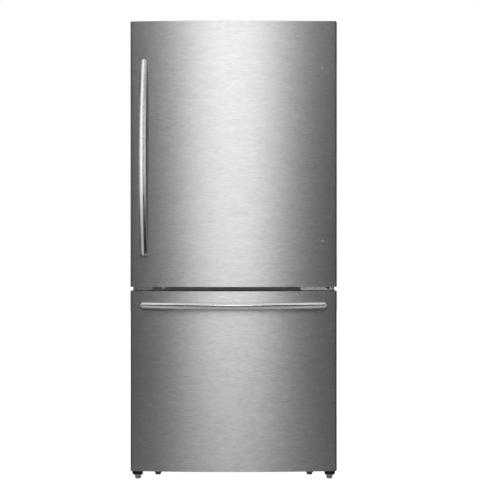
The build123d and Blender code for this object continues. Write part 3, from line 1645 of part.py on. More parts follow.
os.makedirs("parts", exist_ok=True)
for label, piece in pieces.items():
    piece.part.label = label
    export_step(piece.part, f"parts/{label}.step")
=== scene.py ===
import math

import bmesh
import bpy
from mathutils import Matrix, Vector


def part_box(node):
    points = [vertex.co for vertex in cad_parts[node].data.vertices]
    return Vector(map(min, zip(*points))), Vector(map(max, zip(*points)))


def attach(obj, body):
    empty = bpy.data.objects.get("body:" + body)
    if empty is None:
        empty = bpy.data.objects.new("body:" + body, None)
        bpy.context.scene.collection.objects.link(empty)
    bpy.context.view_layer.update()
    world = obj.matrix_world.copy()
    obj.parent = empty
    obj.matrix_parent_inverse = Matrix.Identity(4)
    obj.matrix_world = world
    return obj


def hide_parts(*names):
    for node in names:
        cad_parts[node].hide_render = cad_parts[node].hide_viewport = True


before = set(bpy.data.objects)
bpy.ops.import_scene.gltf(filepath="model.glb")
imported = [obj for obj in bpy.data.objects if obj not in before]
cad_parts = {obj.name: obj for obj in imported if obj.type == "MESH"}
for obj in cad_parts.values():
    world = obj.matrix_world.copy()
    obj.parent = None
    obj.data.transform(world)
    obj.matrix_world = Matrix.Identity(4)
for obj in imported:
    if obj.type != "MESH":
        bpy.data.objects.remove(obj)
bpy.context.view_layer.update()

# ---------------------------------------------------------------- cabinet shell and back panel
# The shell is one folded steel wrap with a pebbled grey paint; the back panel is thin plated sheet
# that closes the foam. Both keep their CAD form.


class Value:
    """An output of a node. Sums, differences and products of values add their Math nodes."""

    def __init__(self, nodes, socket):
        self.nodes, self.socket = nodes, socket

    def maths(self, operation, first, second):
        return self.nodes.node("ShaderNodeMath", {"operation": operation}, {0: first, 1: second})

    def __add__(self, other):
        return self.maths("ADD", self, other)

    def __radd__(self, other):
        return self.maths("ADD", other, self)

    def __sub__(self, other):
        return self.maths("SUBTRACT", self, other)

    def __rsub__(self, other):
        return self.maths("SUBTRACT", other, self)

    def __mul__(self, other):
        return self.maths("MULTIPLY", self, other)

    def __rmul__(self, other):
        return self.maths("MULTIPLY", other, self)

    def __abs__(self):
        return self.nodes.node("ShaderNodeMath", {"operation": "ABSOLUTE"}, {0: self})


class Nodes:
    """A node tree that is written one node at a time."""

    def __init__(self, tree):
        self.tree = tree

    def node(self, kind, settings=(), inputs=(), output=0):
        """Adds a node, makes its settings, then fills or links its inputs."""
        made = self.tree.nodes.new(kind)
        for name, value in dict(settings).items():
            setattr(made, name, value)
        for name, value in dict(inputs).items():
            if isinstance(value, Value):
                self.tree.links.new(value.socket, made.inputs[name])
            else:
                made.inputs[name].default_value = value
        return Value(self, made.outputs[output]) if made.outputs else None


class Finish(Nodes):
    """A surface finish: a material whose grain, sheen and wear come from nodes."""

    def __init__(self, name):
        self.material = bpy.data.materials.new(name)
        self.material.use_nodes = True
        super().__init__(self.material.node_tree)
        self.tree.nodes.clear()
        self.place = self.node("ShaderNodeTexCoord", output="Object")

    def grain(self, scale, stretch=(1, 1, 1), detail=3.0, rough=0.5):
        """Noise with so many features a metre, drawn out along each axis by 1 / stretch."""
        place = self.node("ShaderNodeMapping", inputs={"Vector": self.place, "Scale": stretch})
        inputs = {"Vector": place, "Scale": scale, "Detail": detail, "Roughness": rough}
        return self.node("ShaderNodeTexNoise", inputs=inputs)

    def pebbles(self, scale):
        """Rounded cells, as in a textured paint or a moulded grain."""
        return self.node("ShaderNodeTexVoronoi", inputs={"Vector": self.place, "Scale": scale})

    def steps(self, value, low, high):
        """0 where value is under low and 1 where it is over high."""
        inputs = {"Value": value, "From Min": low, "From Max": high}
        return self.node("ShaderNodeMapRange", {"interpolation_type": "SMOOTHSTEP"}, inputs)

    def mix(self, share, first, second):
        """Colour between two colours."""
        inputs = {0: share}
        for slot, colour in ((6, first), (7, second)):
            inputs[slot] = colour if isinstance(colour, Value) else (*colour, 1)
        return self.node("ShaderNodeMix", {"data_type": "RGBA"}, inputs, output=2)

    def bump(self, height, depth):
        """Surface relief of so many metres."""
        return self.node("ShaderNodeBump", inputs={"Height": height, "Strength": 1.0, "Distance": depth})

    def coat(self, **inputs):
        """Ends the finish with its shader."""
        names = {name: name.replace("_", " ").title().replace("Ior", "IOR") for name in inputs}
        values = {names[name]: value for name, value in inputs.items()}
        colour = values["Base Color"]
        values["Base Color"] = colour if isinstance(colour, Value) else (*colour, 1)
        shader = self.node("ShaderNodeBsdfPrincipled", inputs=values)
        self.node("ShaderNodeOutputMaterial", inputs={"Surface": shader})
        return self.material


def pebbled_paint(name, colour, cell=420, gloss=0.5):
    """Baked paint with a fine pebbled texture and a trace of dust in its low places."""
    paint = Finish(name)
    cells = paint.pebbles(cell)
    cloud = paint.grain(7)
    shade = paint.mix(cloud, [0.86 * c for c in colour], [1.1 * c for c in colour])
    return paint.coat(
        base_color=shade,
        roughness=0.36 + 0.18 * cloud,
        normal=paint.bump(cells + 0.3 * paint.grain(1500), 0.00035),
        specular_ior_level=gloss,
    )


def plated_sheet(name, colour=(0.62, 0.63, 0.65), roughness=0.3):
    """Zinc plated steel: soft cloudy sheen, rolling lines and a few dull spots."""
    zinc = Finish(name)
    cloud = zinc.grain(45, detail=5)
    lines = zinc.grain(9, (60, 60, 2), detail=4)
    dull = zinc.steps(zinc.grain(16, rough=0.7), 0.56, 0.7)
    shade = zinc.mix(0.35 * cloud + 0.12 * dull, colour, [0.68 * c for c in colour])
    return zinc.coat(
        base_color=shade,
        metallic=1.0,
        roughness=roughness - 0.04 + 0.1 * cloud + 0.05 * dull,
        normal=zinc.bump(lines + 0.4 * cloud, 0.00004),
    )


def edge_shading():
    """Modifier tree that joins a CAD mesh's loose triangles and shades its round faces smooth."""
    tree = bpy.data.node_groups.new("edge_shading", "GeometryNodeTree")
    tree.interface.new_socket("Mesh", in_out="INPUT", socket_type="NodeSocketGeometry")
    tree.interface.new_socket("Mesh", in_out="OUTPUT", socket_type="NodeSocketGeometry")
    nodes = Nodes(tree)
    mesh = nodes.node("NodeGroupInput")
    mesh = nodes.node("GeometryNodeMergeByDistance", inputs={"Geometry": mesh, "Distance": 2e-6})
    fold = nodes.node("GeometryNodeInputMeshEdgeAngle")
    sharp = nodes.node("FunctionNodeCompare", {"operation": "GREATER_THAN"}, {0: fold, 1: math.radians(32)})
    smooth = {"Geometry": mesh, "Shade Smooth": True}
    mesh = nodes.node("GeometryNodeSetShadeSmooth", {"domain": "FACE"}, smooth)
    sharpen = {"Geometry": mesh, "Selection": sharp, "Shade Smooth": False}
    mesh = nodes.node("GeometryNodeSetShadeSmooth", {"domain": "EDGE"}, sharpen)
    nodes.node("NodeGroupOutput", inputs={0: mesh})
    return tree


smooth_faces = edge_shading()


def dress(names, material, edge=0.0):
    """Gives CAD nodes their finish, smooth round faces and, where asked, a small broken edge."""
    for name in names.split():
        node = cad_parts[name]
        node.data.materials.clear()
        node.data.materials.append(material)
        node.modifiers.new("faces", "NODES").node_group = smooth_faces
        if edge:
            bevel = node.modifiers.new("edges", "BEVEL")
            bevel.width, bevel.segments, bevel.limit_method = edge, 2, "ANGLE"
            bevel.angle_limit, bevel.harden_normals = math.radians(50), True
            bevel.use_clamp_overlap = True


dress("cabinet_shell", pebbled_paint("cabinet_grey_paint", (0.21, 0.212, 0.218)))
zinc = plated_sheet("zinc_plate")
dress("back_panel", plated_sheet("back_sheet", (0.6, 0.61, 0.62), roughness=0.46))
# The mullion rail's zinc is dull plating, and darker than the rest as a painted shade for the gap between
# the fronts.
dress("mullion_rail", plated_sheet("dull_zinc", (0.5, 0.5, 0.503), roughness=0.62))

# ---------------------------------------------------------------- foam and inner liners
# Foam is blown between shell and liners in one shot. The liners are vacuum-formed polystyrene with a
# soft gloss; the evaporator cover and air duct are moulded in the same white.


def moulded(name, colour, roughness, relief, wear):
    """Moulded plastic: even colour, slight flow clouds and a fine grain."""
    plastic = Finish(name)
    cloud = plastic.grain(9, detail=4)
    shade = plastic.mix(cloud, [(1 - wear) * c for c in colour], [min(1, (1 + wear) * c) for c in colour])
    return plastic.coat(
        base_color=shade,
        roughness=roughness + 0.12 * cloud,
        normal=plastic.bump(plastic.grain(900, detail=2), relief),
        coat_weight=0.08,
    )


foam = Finish("yellow_foam")
cells = foam.pebbles(350)
aged = foam.mix(foam.grain(12, detail=6), (0.72, 0.56, 0.28), (0.86, 0.74, 0.47))
foam_finish = foam.coat(base_color=aged, roughness=0.92, normal=foam.bump(cells, 0.0008))
dress("cabinet_foam door_foam drawer_foam", foam_finish)

liner_white = moulded("liner_white", (0.83, 0.84, 0.85), roughness=0.22, relief=0.0001, wear=0.02)
dress("fridge_liner freezer_liner", liner_white)
cover_white = moulded("cover_white", (0.8, 0.81, 0.82), roughness=0.34, relief=0.00008, wear=0.03)
dress("evaporator_cover air_duct", cover_white)

# ---------------------------------------------------------------- base frame and machine compartment
# The base frame is pressed steel, dipped black. Behind it the compressor stands on rubber feet beside
# the condenser, its fan and the defrost water pan, closed by a slotted cover.
black_paint = pebbled_paint("black_dip", (0.008, 0.008, 0.0085), cell=650, gloss=0.2)
black_plastic = moulded("black_plastic", (0.028, 0.028, 0.03), roughness=0.42, relief=0.00012, wear=0.2)
dress("base_frame compressor", black_paint)
dress("machine_cover", pebbled_paint("cover_grey", (0.13, 0.132, 0.136), cell=500))
dress("condenser_fan_motor condenser_fan evaporator_fan drain_pan", black_plastic)


class Pattern(Nodes):
    """A geometry tree with named sizes, for what repeats or follows a path."""

    def __init__(self, name, sizes):
        super().__init__(bpy.data.node_groups.new(name, "GeometryNodeTree"))
        face = self.tree.interface
        face.new_socket("Start", in_out="INPUT", socket_type="NodeSocketGeometry")
        for size, kind in sizes.items():
            face.new_socket(size, in_out="INPUT", socket_type="NodeSocket" + kind)
        face.new_socket("Mesh", in_out="OUTPUT", socket_type="NodeSocketGeometry")
        self.given = self.tree.nodes.new("NodeGroupInput")

    def size(self, name):
        """One of the tree's inputs."""
        return Value(self, self.given.outputs[name])

    def vector(self, x, y, z):
        return self.node("ShaderNodeCombineXYZ", inputs={0: x, 1: y, 2: z})

    def end(self, geometry, material):
        """Makes real meshes of the instances and gives them their finish."""
        geometry = self.node("GeometryNodeRealizeInstances", inputs={"Geometry": geometry})
        geometry = self.node("GeometryNodeSetMaterial", inputs={"Geometry": geometry, "Material": material})
        self.node("NodeGroupOutput", inputs={0: geometry})

    def join(self, *parts):
        joined = self.tree.nodes.new("GeometryNodeJoinGeometry")
        for part in reversed(parts):
            self.tree.links.new(part.socket, joined.inputs[0])
        return Value(self, joined.outputs[0])

    def made(self, name, points, edges, **sizes):
        """Plain mesh object that the tree makes from start points and sizes."""
        start = bpy.data.meshes.new(name)
        start.from_pydata([tuple(p) for p in points], list(edges), [])
        piece = bpy.data.objects.new(name, start)
        bpy.context.scene.collection.objects.link(piece)
        modifier = piece.modifiers.new("pattern", "NODES")
        modifier.node_group = self.tree
        for item in self.tree.interface.items_tree:
            if item.in_out == "INPUT" and item.name.lower() in sizes:
                modifier[item.identifier] = sizes[item.name.lower()]
        graph = bpy.context.evaluated_depsgraph_get()
        mesh = bpy.data.meshes.new_from_object(piece.evaluated_get(graph), depsgraph=graph)
        piece.modifiers.remove(modifier)
        piece.data = mesh
        return piece


def fit(piece, body, node):
    """Fixes a finished piece to its body and hides the CAD node that it stands for."""
    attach(piece, body)
    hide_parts(node)


mill_aluminium = Finish("mill_aluminium")
drawn = mill_aluminium.grain(30, (0.2, 3, 3), detail=4)
fin_finish = mill_aluminium.coat(
    base_color=mill_aluminium.mix(drawn, (0.66, 0.67, 0.68), (0.82, 0.83, 0.84)),
    metallic=1.0,
    roughness=0.26 + 0.2 * drawn,
    normal=mill_aluminium.bump(drawn, 0.00003),
)

coil_sizes = {"Fins": "Int", "Pitch": "Float", "Fin": "Vector", "Bend": "Float", "Tube": "Float"}
coil = Pattern("finned_coil", coil_sizes)
pitch = coil.vector(coil.size("Pitch"), 0, 0)
low_end = coil.vector(-0.5 * coil.size("Pitch") * (coil.size("Fins") - 1), 0, 0)
spread = {"Count": coil.size("Fins"), "Start Location": low_end, "Offset": pitch}
line = coil.node("GeometryNodeMeshLine", inputs=spread)
fin = coil.node("GeometryNodeMeshCube", inputs={"Size": coil.size("Fin")})
fins = coil.node("GeometryNodeInstanceOnPoints", inputs={"Points": line, "Instance": fin})
run = coil.node("GeometryNodeMeshToCurve", inputs={"Mesh": coil.size("Start")})
bends = {"Curve": run, "Radius": coil.size("Bend"), "Count": 8, "Limit Radius": True}
run = coil.node("GeometryNodeFilletCurve", {"mode": "POLY"}, bends)
bore = coil.node("GeometryNodeCurvePrimitiveCircle", inputs={"Resolution": 12, "Radius": coil.size("Tube")})
tube = coil.node("GeometryNodeCurveToMesh", inputs={"Curve": run, "Profile Curve": bore, "Fill Caps": True})
tube = coil.node("GeometryNodeSetShadeSmooth", inputs={"Geometry": tube, "Shade Smooth": True})
coil.end(coil.join(fins, tube), fin_finish)

tube_rows, tube_radius, bend_radius = 5, 0.0036, 0.012
fin_pitch, fin_sheet, fin_margin = 0.0042, 0.0004, 0.008
bare_ends, end_inset, row_margin, row_lift = 0.05, 0.004, 0.036, 0.003
for name in ("evaporator_coil", "condenser_coil"):
    low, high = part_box(name)
    size, middle = high - low, (low + high) / 2
    reach = size.x / 2 - end_inset
    corners = []
    for row in range(tube_rows):
        z = (row / (tube_rows - 1) - 0.5) * (size.z - row_margin) + row_lift
        ends = (-reach, reach) if row % 2 else (reach, -reach)
        corners += [(ends[0], 0, z), (ends[1], 0, z)]
    links = [(i, i + 1) for i in range(len(corners) - 1)]
    piece = coil.made(
        name + "_fins",
        corners,
        links,
        fins=int((size.x - bare_ends) / fin_pitch),
        pitch=fin_pitch,
        fin=(fin_sheet, size.y - fin_margin, size.z - 2 * fin_margin),
        bend=bend_radius,
        tube=tube_radius,
    )
    piece.data.transform(Matrix.Translation(middle))
    fit(piece, "cabinet", name)

# ---------------------------------------------------------------- hinges and their screws
# The centre hinge is a plated bracket screwed to the mullion; the top hinge hides under a grey cap. A
# plate covers the second set of holes on the left, so that the door can be hung on that side.
dress("centre_hinge top_hinge", zinc, 0.0004)
dress("hinge_hole_cover", plated_sheet("cover_plate", (0.4, 0.4, 0.41), roughness=0.38))
grey_plastic = moulded("grey_plastic", (0.2, 0.2, 0.205), roughness=0.4, relief=0.0001, wear=0.08)
dress("top_hinge_cover", grey_plastic)
dress("hinge_screws", plated_sheet("screw_zinc", (0.5, 0.5, 0.5), roughness=0.34))

# ---------------------------------------------------------------- feet and rollers
# Grey levelling feet carry the front corners: a barrel pad under a knurled disc. Black rollers turn in
# forks behind them and take the weight when the feet are screwed up.
foot_grey = moulded("foot_grey", (0.12, 0.12, 0.122), roughness=0.5, relief=0.00015, wear=0.1)
dress("foot_left foot_right", foot_grey)
dress("front_roller_left front_roller_right rear_roller_left rear_roller_right", black_plastic)

# ---------------------------------------------------------------- door and drawer fronts
# Each front is one sheet of steel, brushed from side to side, bowed and folded round the foam. The
# sheet shows as rolled corners at the sides and as a thin edge round the grey end caps.


# Painted shade: past the fold of the rolled corners the steel's colour drops to this share of itself.
painted_shade_blend, painted_fold_shade = 0.0012, 0.42


def brushed_steel(name, colour, along, roughness, grain, relief, spread, fold=None):
    """Steel brushed along one axis: fine strokes over soft broad bands, with a painted shade past the fold.
    """
    steel = Finish(name)
    fine = steel.grain(46, along, detail=2)
    broad = steel.grain(11, along, detail=3)
    marks = steel.grain(1.6, detail=4)
    strokes = 0.75 * fine + 0.25 * broad
    shade = steel.mix(strokes, [(1 - grain) * c for c in colour], [(1 + grain) * c for c in colour])
    # painted shade: the colour is darkened past the fold, on the rolled corners
    if fold:
        across = abs(steel.node("ShaderNodeSeparateXYZ", inputs={0: steel.place}))
        painted_shade_past_fold = steel.steps(across, fold, fold + painted_shade_blend)
        shade = steel.mix(painted_shade_past_fold, shade, [painted_fold_shade * c for c in colour])
    return steel.coat(
        base_color=shade,
        metallic=1.0,
        roughness=roughness - 0.05 + 0.07 * strokes + 0.04 * marks,
        normal=steel.bump(strokes, relief),
        anisotropic=spread,
        anisotropic_rotation=0.25,
    )


def new_piece(name, vertices, faces, material, smooth=32):
    """Mesh object at the origin with one finish, outward normals and smooth round faces."""
    mesh = bpy.data.meshes.new(name)
    mesh.from_pydata([tuple(v) for v in vertices], [], faces)
    work = bmesh.new()
    work.from_mesh(mesh)
    bmesh.ops.remove_doubles(work, verts=work.verts, dist=1e-6)
    bmesh.ops.recalc_face_normals(work, faces=work.faces)
    for face in work.faces:
        face.smooth = True
    for edge in work.edges:
        edge.smooth = len(edge.link_faces) == 2 and edge.calc_face_angle(0) < math.radians(smooth)
    work.to_mesh(mesh)
    work.free()
    mesh.materials.append(material)
    piece = bpy.data.objects.new(name, mesh)
    bpy.context.scene.collection.objects.link(piece)
    return piece


front_low, front_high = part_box("door_skin")
half_door = front_high.x
door_back = front_high.y
crown_y = front_low.y
door_bow, rolled_corner, sheet = 0.013, 0.007, 0.0009
edge_y = crown_y + door_bow


def arc_radius(half, rise):
    """Radius of an arc, from half its chord and its rise."""
    return (half**2 + rise**2) / (2 * rise)


def front_outline(inset):
    """Plan of a door skin from its left back flange round the bowed front to the right one."""
    half, back = half_door - inset, door_back - inset
    front, corner = edge_y + inset, rolled_corner - inset
    chord = half - corner
    radius = arc_radius(chord, door_bow)
    flange, back_fold = 0.014, 0.002
    fold_steps, corner_steps, bow_steps = 3, 8, 64
    points = [(flange - half_door, back)]
    for i in range(fold_steps + 1):
        angle = math.pi / 2 + math.pi / 2 * i / fold_steps
        x = -half + back_fold + back_fold * math.cos(angle)
        points.append((x, back - back_fold + back_fold * math.sin(angle)))
    for i in range(corner_steps + 1):
        angle = math.pi + math.pi / 2 * i / corner_steps
        points.append((-chord + corner * math.cos(angle), front + corner + corner * math.sin(angle)))
    left_side = list(points)
    for i in range(1, bow_steps):
        x = -chord + 2 * chord * i / bow_steps
        points.append((x, front - door_bow + radius - math.sqrt(radius**2 - x**2)))
    return points + [(-x, y) for x, y in reversed(left_side)]


def front_skin(name, low_z, high_z, material):
    """Folded sheet with its true thickness and finely broken edges at top and bottom."""
    outer, inner = front_outline(0), front_outline(sheet)
    broken = 0.0003
    rows = [(low_z, 1), (low_z + broken, 0), (high_z - broken, 0), (high_z, 1)]
    vertices, faces, count = [], [], len(outer)
    for z, turned in rows:
        for (x, y), (u, v) in zip(outer, inner):
            share = broken / sheet * turned
            vertices.append((x + (u - x) * share, y + (v - y) * share, z))
    for z in (low_z, high_z):
        vertices += [(x, y, z) for x, y in inner]
    for row in range(len(rows) - 1):
        for i in range(count - 1):
            a = row * count + i
            faces.append((a, a + 1, a + 1 + count, a + count))
    low_in, high_in = 4 * count, 5 * count
    for i in range(count - 1):
        faces.append((i, low_in + i, low_in + i + 1, i + 1))
        faces.append((3 * count + i, 3 * count + i + 1, high_in + i + 1, high_in + i))
        faces.append((low_in + i, high_in + i, high_in + i + 1, low_in + i + 1))
    for i in (0, count - 1):
        faces.append((i, count + i, 2 * count + i, 3 * count + i, high_in + i, low_in + i))
    return new_piece(name, vertices, faces, material, 40)


folded = half_door - rolled_corner
door_steel = brushed_steel(
    "door_steel_brushed",
    (0.6, 0.6, 0.603),
    along=(1, 1, 6),
    roughness=0.4,
    grain=0.34,
    relief=1e-5,
    spread=0.9,
    fold=folded,
)
fit(front_skin("door_front", front_low.z, front_high.z, door_steel), "fridge_door", "door_skin")
drawer_low, drawer_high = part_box("drawer_skin")
drawer_front = front_skin("drawer_front", drawer_low.z, drawer_high.z, door_steel)
fit(drawer_front, "freezer_drawer", "drawer_skin")

dress("door_end_caps drawer_end_caps", grey_plastic)
dress("door_liner drawer_liner", liner_white)
gasket_vinyl = moulded("gasket_vinyl", (0.3, 0.3, 0.305), roughness=0.5, relief=0.0001, wear=0.06)
dress("door_gasket drawer_gasket", gasket_vinyl)
plug_grey = moulded("plug_grey", (0.15, 0.15, 0.152), roughness=0.5, relief=0.00006, wear=0.05)
dress("door_plugs", plug_grey)

# ---------------------------------------------------------------- bar handles
# Both handles are drawn steel bars, bowed along their length and cut square. A wide and a narrow facet
# meet in a soft ridge. Each bar stands on two turned posts that are screwed on from inside.

# The section's corners, each with its distance across and out from the back, and its radius.
bar_corners = [
    ((0.0, 0.0), 0.0015),
    ((0.0, 0.0049), 0.0012),
    ((0.008, 0.0095), 0.08),
    ((0.0175, 0.0135), 0.004),
    ((0.027, 0.0079), 0.0012),
    ((0.027, 0.0), 0.0015),
]
bar_thickness = 0.01295
# The post's profile from the door out: a distance, a share of its length to add, and the radius.
post_turning = [
    (0.0, 0.0, 0.0071),
    (0.0012, 0.0, 0.0071),
    (0.0018, 0.0, 0.0064),
    (0.0, 0.9, 0.0064),
    (0.0, 0.96, 0.007),
    (0.0, 1.0, 0.007),
]


def rounded_outline(corners, steps):
    """Closed outline whose corners are rounded, each by its own radius."""
    outline = []
    for i, (corner, radius) in enumerate(corners):
        corner = Vector(corner)
        before = (Vector(corners[i - 1][0]) - corner).normalized()
        after = (Vector(corners[(i + 1) % len(corners)][0]) - corner).normalized()
        half = before.angle(after) / 2
        centre = corner + (before + after).normalized() * radius / math.sin(half)
        start, finish = (corner + way * radius / math.tan(half) - centre for way in (before, after))
        first = math.atan2(start.y, start.x)
        sweep = (math.atan2(finish.y, finish.x) - first + math.pi) % (2 * math.pi) - math.pi
        for k in range(steps + 1):
            angle = first + sweep * k / steps
            outline.append(centre + radius * Vector((math.cos(angle), math.sin(angle))))
    return outline


def handle_bar(name, place, half, back_y, front_y, posts, material):
    """Bowed bar with broken edges at its ends, and its posts; place gives x and z from along and across."""
    section = rounded_outline(bar_corners, 6)
    broken_end, end_share, post_root, sides = 0.0004, 0.96, 0.004, 32
    peak = max(v for _, v in section)
    bow = back_y - front_y - bar_thickness
    radius = arc_radius(half, bow)
    reach, rows, count = math.asin(half / radius), 96, len(section)
    middle = Vector((sum(u for u, _ in section) / count, peak / 2))
    vertices, faces = [], []
    for row in range(-1, rows + 2):
        inward = end_share if row in (-1, rows + 1) else 1.0
        turn = -reach + 2 * reach * min(max(row, 0), rows) / rows
        turn += {0: broken_end, rows: -broken_end}.get(row, 0) / radius
        for point in section:
            u, v = middle + (Vector(point) - middle) * inward
            v *= bar_thickness / peak
            along = (radius + v) * math.sin(turn)
            out = bow - radius + (radius + v) * math.cos(turn)
            x, z = place(along, u)
            vertices.append((x, back_y - out, z))
    for row in range(rows + 2):
        for i in range(count):
            a, b = row * count + i, row * count + (i + 1) % count
            faces.append((a, b, b + count, a + count))
    faces += [tuple(range(count)), tuple(range((rows + 2) * count, (rows + 3) * count))]
    for along, across, foot_y in posts:
        x, z = place(along, across)
        out = bow - radius + math.sqrt(radius**2 - along**2)
        length, base = foot_y - (back_y - out) + post_root, len(vertices)
        for distance, share, post in post_turning:
            y = foot_y - distance - share * length
            for k in range(sides):
                angle = 2 * math.pi * k / sides
                vertices.append((x + post * math.cos(angle), y, z + post * math.sin(angle)))
        for ring in range(len(post_turning) - 1):
            for k in range(sides):
                a, b = base + sides * ring + k, base + sides * ring + (k + 1) % sides
                faces.append((a, b, b + sides, a + sides))
        last = base + sides * (len(post_turning) - 1)
        faces += [tuple(range(base, base + sides)), tuple(range(last, last + sides))]
    return new_piece(name, vertices, faces, material, 40)


def face_y(x):
    """Place of the bowed front at a distance from its middle."""
    radius = arc_radius(half_door - rolled_corner, door_bow)
    return crown_y + radius - math.sqrt(radius**2 - x**2)


def bar_steel(name, along):
    """Brighter, finer steel of the bars, brushed along their length."""
    return brushed_steel(
        name,
        (0.74, 0.74, 0.743),
        along=along,
        roughness=0.25,
        grain=0.08,
        relief=3e-6,
        spread=0.3,
    )


bar_gap, bar_middle, bar_ridge = 0.003, 0.0135, 0.0175
upright_half, upright_posts = 0.373, (0.921, 1.581)
low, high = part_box("door_handle")
left_x, middle_z = low.x, (low.z + high.z) / 2
bar = handle_bar(
    "door_bar",
    lambda along, across: (left_x + across, middle_z + along),
    upright_half,
    face_y(left_x + bar_middle) - bar_gap,
    low.y,
    [(z - middle_z, bar_ridge, face_y(left_x + bar_ridge)) for z in upright_posts],
    bar_steel("handle_steel_brushed", (9, 9, 1)),
)
fit(bar, "fridge_door", "door_handle")
level_half, level_post = 0.353, 0.313
low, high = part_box("drawer_handle")
low_z = low.z
bar = handle_bar(
    "drawer_bar",
    lambda along, across: (along, low_z + across),
    level_half,
    face_y(level_half) - bar_gap,
    low.y,
    [(x, bar_middle, face_y(x)) for x in (-level_post, level_post)],
    bar_steel("bar_steel_brushed", (1, 9, 9)),
)
fit(bar, "freezer_drawer", "drawer_handle")

# ---------------------------------------------------------------- bins, crispers and trays
# Clear polystyrene tubs with rounded corners: door bins, the dairy bin and its lid, two crispers and
# the freezer tray. The basket below is white.


def clear_plastic(name, tint, roughness=0.08):
    """Clear moulding with a slight tint, fine scratches and flow marks."""
    clear = Finish(name)
    scratches = clear.grain(60, (1, 8, 1), detail=6, rough=0.7)
    rubbed = clear.steps(scratches, 0.5, 0.8)
    return clear.coat(
        base_color=clear.mix(rubbed, tint, [0.93 * c for c in tint]),
        roughness=roughness + 0.25 * rubbed,
        normal=clear.bump(clear.grain(25, detail=3), 0.00012),
        transmission_weight=0.88,
        ior=1.45,
    )


clear_tub = clear_plastic("clear_tub", (0.93, 0.95, 0.97))
dress("door_bins dairy_bin dairy_lid crisper_left crisper_right freezer_tray", clear_tub)
dress("lamp_lens", clear_plastic("frosted_lens", (0.97, 0.97, 0.95), roughness=0.45))
dress("freezer_basket", liner_white)

# ---------------------------------------------------------------- shelves and crisper cover
# Toughened glass panes lie in white moulded frames that rest on the liner's ledges.
dress("shelf_glass", clear_plastic("green_glass", (0.82, 0.93, 0.89), roughness=0.02))
frame_white = moulded("frame_white", (0.78, 0.79, 0.8), roughness=0.3, relief=0.00006, wear=0.03)
dress("shelf_frames crisper_frame humidity_slider_left humidity_slider_right", frame_white)

# ---------------------------------------------------------------- slides
# Three nested channels of plated strip on each side of the freezer.
dress("freezer_slide_rails slide_members drawer_slide_arms", zinc)

# ---------------------------------------------------------------- control housing
# Pale grey housing under the ceiling with a frosted lamp lens and two push buttons in its front.
control_grey = moulded("control_grey", (0.62, 0.63, 0.64), roughness=0.3, relief=0.00006, wear=0.03)
dress("control_housing", control_grey)
button_grey = moulded("button_grey", (0.3, 0.31, 0.32), roughness=0.34, relief=0.00006, wear=0.05)
dress("colder_button warmer_button", button_grey)

# ---------------------------------------------------------------- floor, lights and camera
# A plain pale floor that glows evenly and isn't mirrored, two soft panels behind the camera that the
# bowed steel mirrors as one bright band, soft lights round the object for its other sides and for the
# facets of its bars, two of them below floor level, and a level camera at the photograph's distance.
floor_paint = Finish("floor_white")
floor_shade = floor_paint.mix(floor_paint.grain(3), (0.86, 0.86, 0.86), (0.9, 0.9, 0.9))
floor_finish = floor_paint.coat(
    base_color=floor_shade,
    roughness=0.85,
    specular_ior_level=0.1,
    emission_color=(1, 1, 1, 1),
    emission_strength=1.0,
)
edge = 7.0
corners = [(-edge, -edge, 0), (edge, -edge, 0), (edge, edge, 0), (-edge, edge, 0)]
floor = new_piece("floor", corners, [(0, 1, 2, 3)], floor_finish)
floor.visible_glossy = floor.visible_shadow = False


def soft_light(name, place, towards, width, height, shine, mirrored=True):
    """Rectangular soft light of so much shine, facing a point, itself unseen."""
    lamp = bpy.data.lights.new(name, "AREA")
    lamp.shape, lamp.size, lamp.size_y = "RECTANGLE", width, height
    lamp.energy = shine * math.pi * width * height
    light = bpy.data.objects.new(name, lamp)
    light.location = place
    light.rotation_euler = (Vector(towards) - Vector(place)).to_track_quat("-Z", "Y").to_euler()
    light.visible_camera, light.visible_glossy = False, mirrored
    bpy.context.scene.collection.objects.link(light)


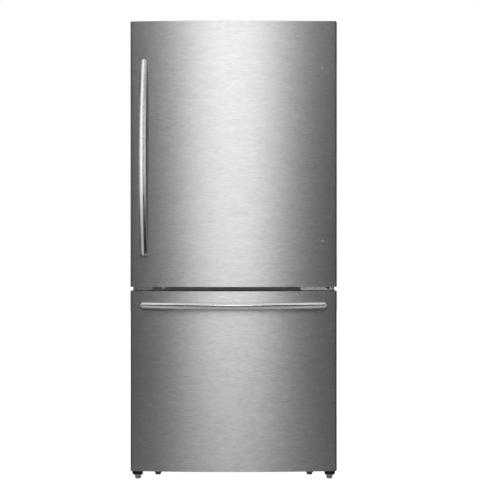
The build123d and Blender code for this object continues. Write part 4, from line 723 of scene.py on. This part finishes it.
band_x, band_y = -0.08, -6.0
soft_light("tall_light", (band_x, band_y, 1.5), (band_x, 0, 1.5), 1.4, 2.2, 3.8)
soft_light("wide_light", (band_x, band_y, 4.1), (band_x, 0, 4.1), 2.3, 3.0, 2.6)
upright_bar, level_bar, middle = (-0.34, -0.36), (0, -0.36, 0.67), (0, 0, 0.9)
soft_light("left_light", (-5.4, -3.9, 3.4), (*upright_bar, 3.4), 1.9, 6.0, 1.6)
soft_light("left_low_light", (-5.4, -3.9, -1.2), (*upright_bar, -1.2), 1.9, 3.2, 0.7)
soft_light("right_light", (4.4, -3.5, 2.3), (*upright_bar, 2.3), 1.4, 3.4, 1.0)
soft_light("high_light", (0, -2.5, 4.1), level_bar, 7.0, 0.9, 1.3)
soft_light("low_light", (0, -1.9, -1.8), level_bar, 8.0, 0.7, 0.7)
soft_light("left_side_light", (-6.0, 3.2, 2.2), middle, 6.0, 5.0, 0.8)
soft_light("right_side_light", (6.0, 3.2, 2.2), middle, 6.0, 5.0, 0.8)
soft_light("back_light", (0, 7.0, 2.4), middle, 8.0, 5.0, 0.8)
soft_light("front_fill", (0, -4.5, 2.2), middle, 4.0, 2.5, 0.4, mirrored=False)
soft_light("top_light", (0, -0.8, 4.2), (0, 0, 0), 5.0, 5.0, 1.6, mirrored=False)

world = bpy.data.worlds.new("studio")
world.use_nodes = True
bpy.context.scene.world = world
sky = Nodes(world.node_tree)
sky.tree.nodes.clear()
seen = sky.node("ShaderNodeLightPath", output="Is Camera Ray")
room = sky.node("ShaderNodeBackground", inputs={"Color": (1, 1, 1, 1), "Strength": 0.015})
white = sky.node("ShaderNodeBackground", inputs={"Color": (1, 1, 1, 1), "Strength": 1.0})
blend = sky.node("ShaderNodeMixShader", inputs={0: seen, 1: room, 2: white})
sky.node("ShaderNodeOutputWorld", inputs={"Surface": blend})
bpy.context.scene.view_settings.view_transform = "Standard"

lens = bpy.data.cameras.new("camera")
lens.sensor_width, lens.lens = 36.0, 58.9  # both in millimetres
camera = bpy.data.objects.new("camera", lens)
camera.location = (0.0243, -3.304, 0.925)
camera.rotation_euler = (math.pi / 2, 0, 0)
bpy.context.scene.collection.objects.link(camera)
bpy.context.scene.camera = camera
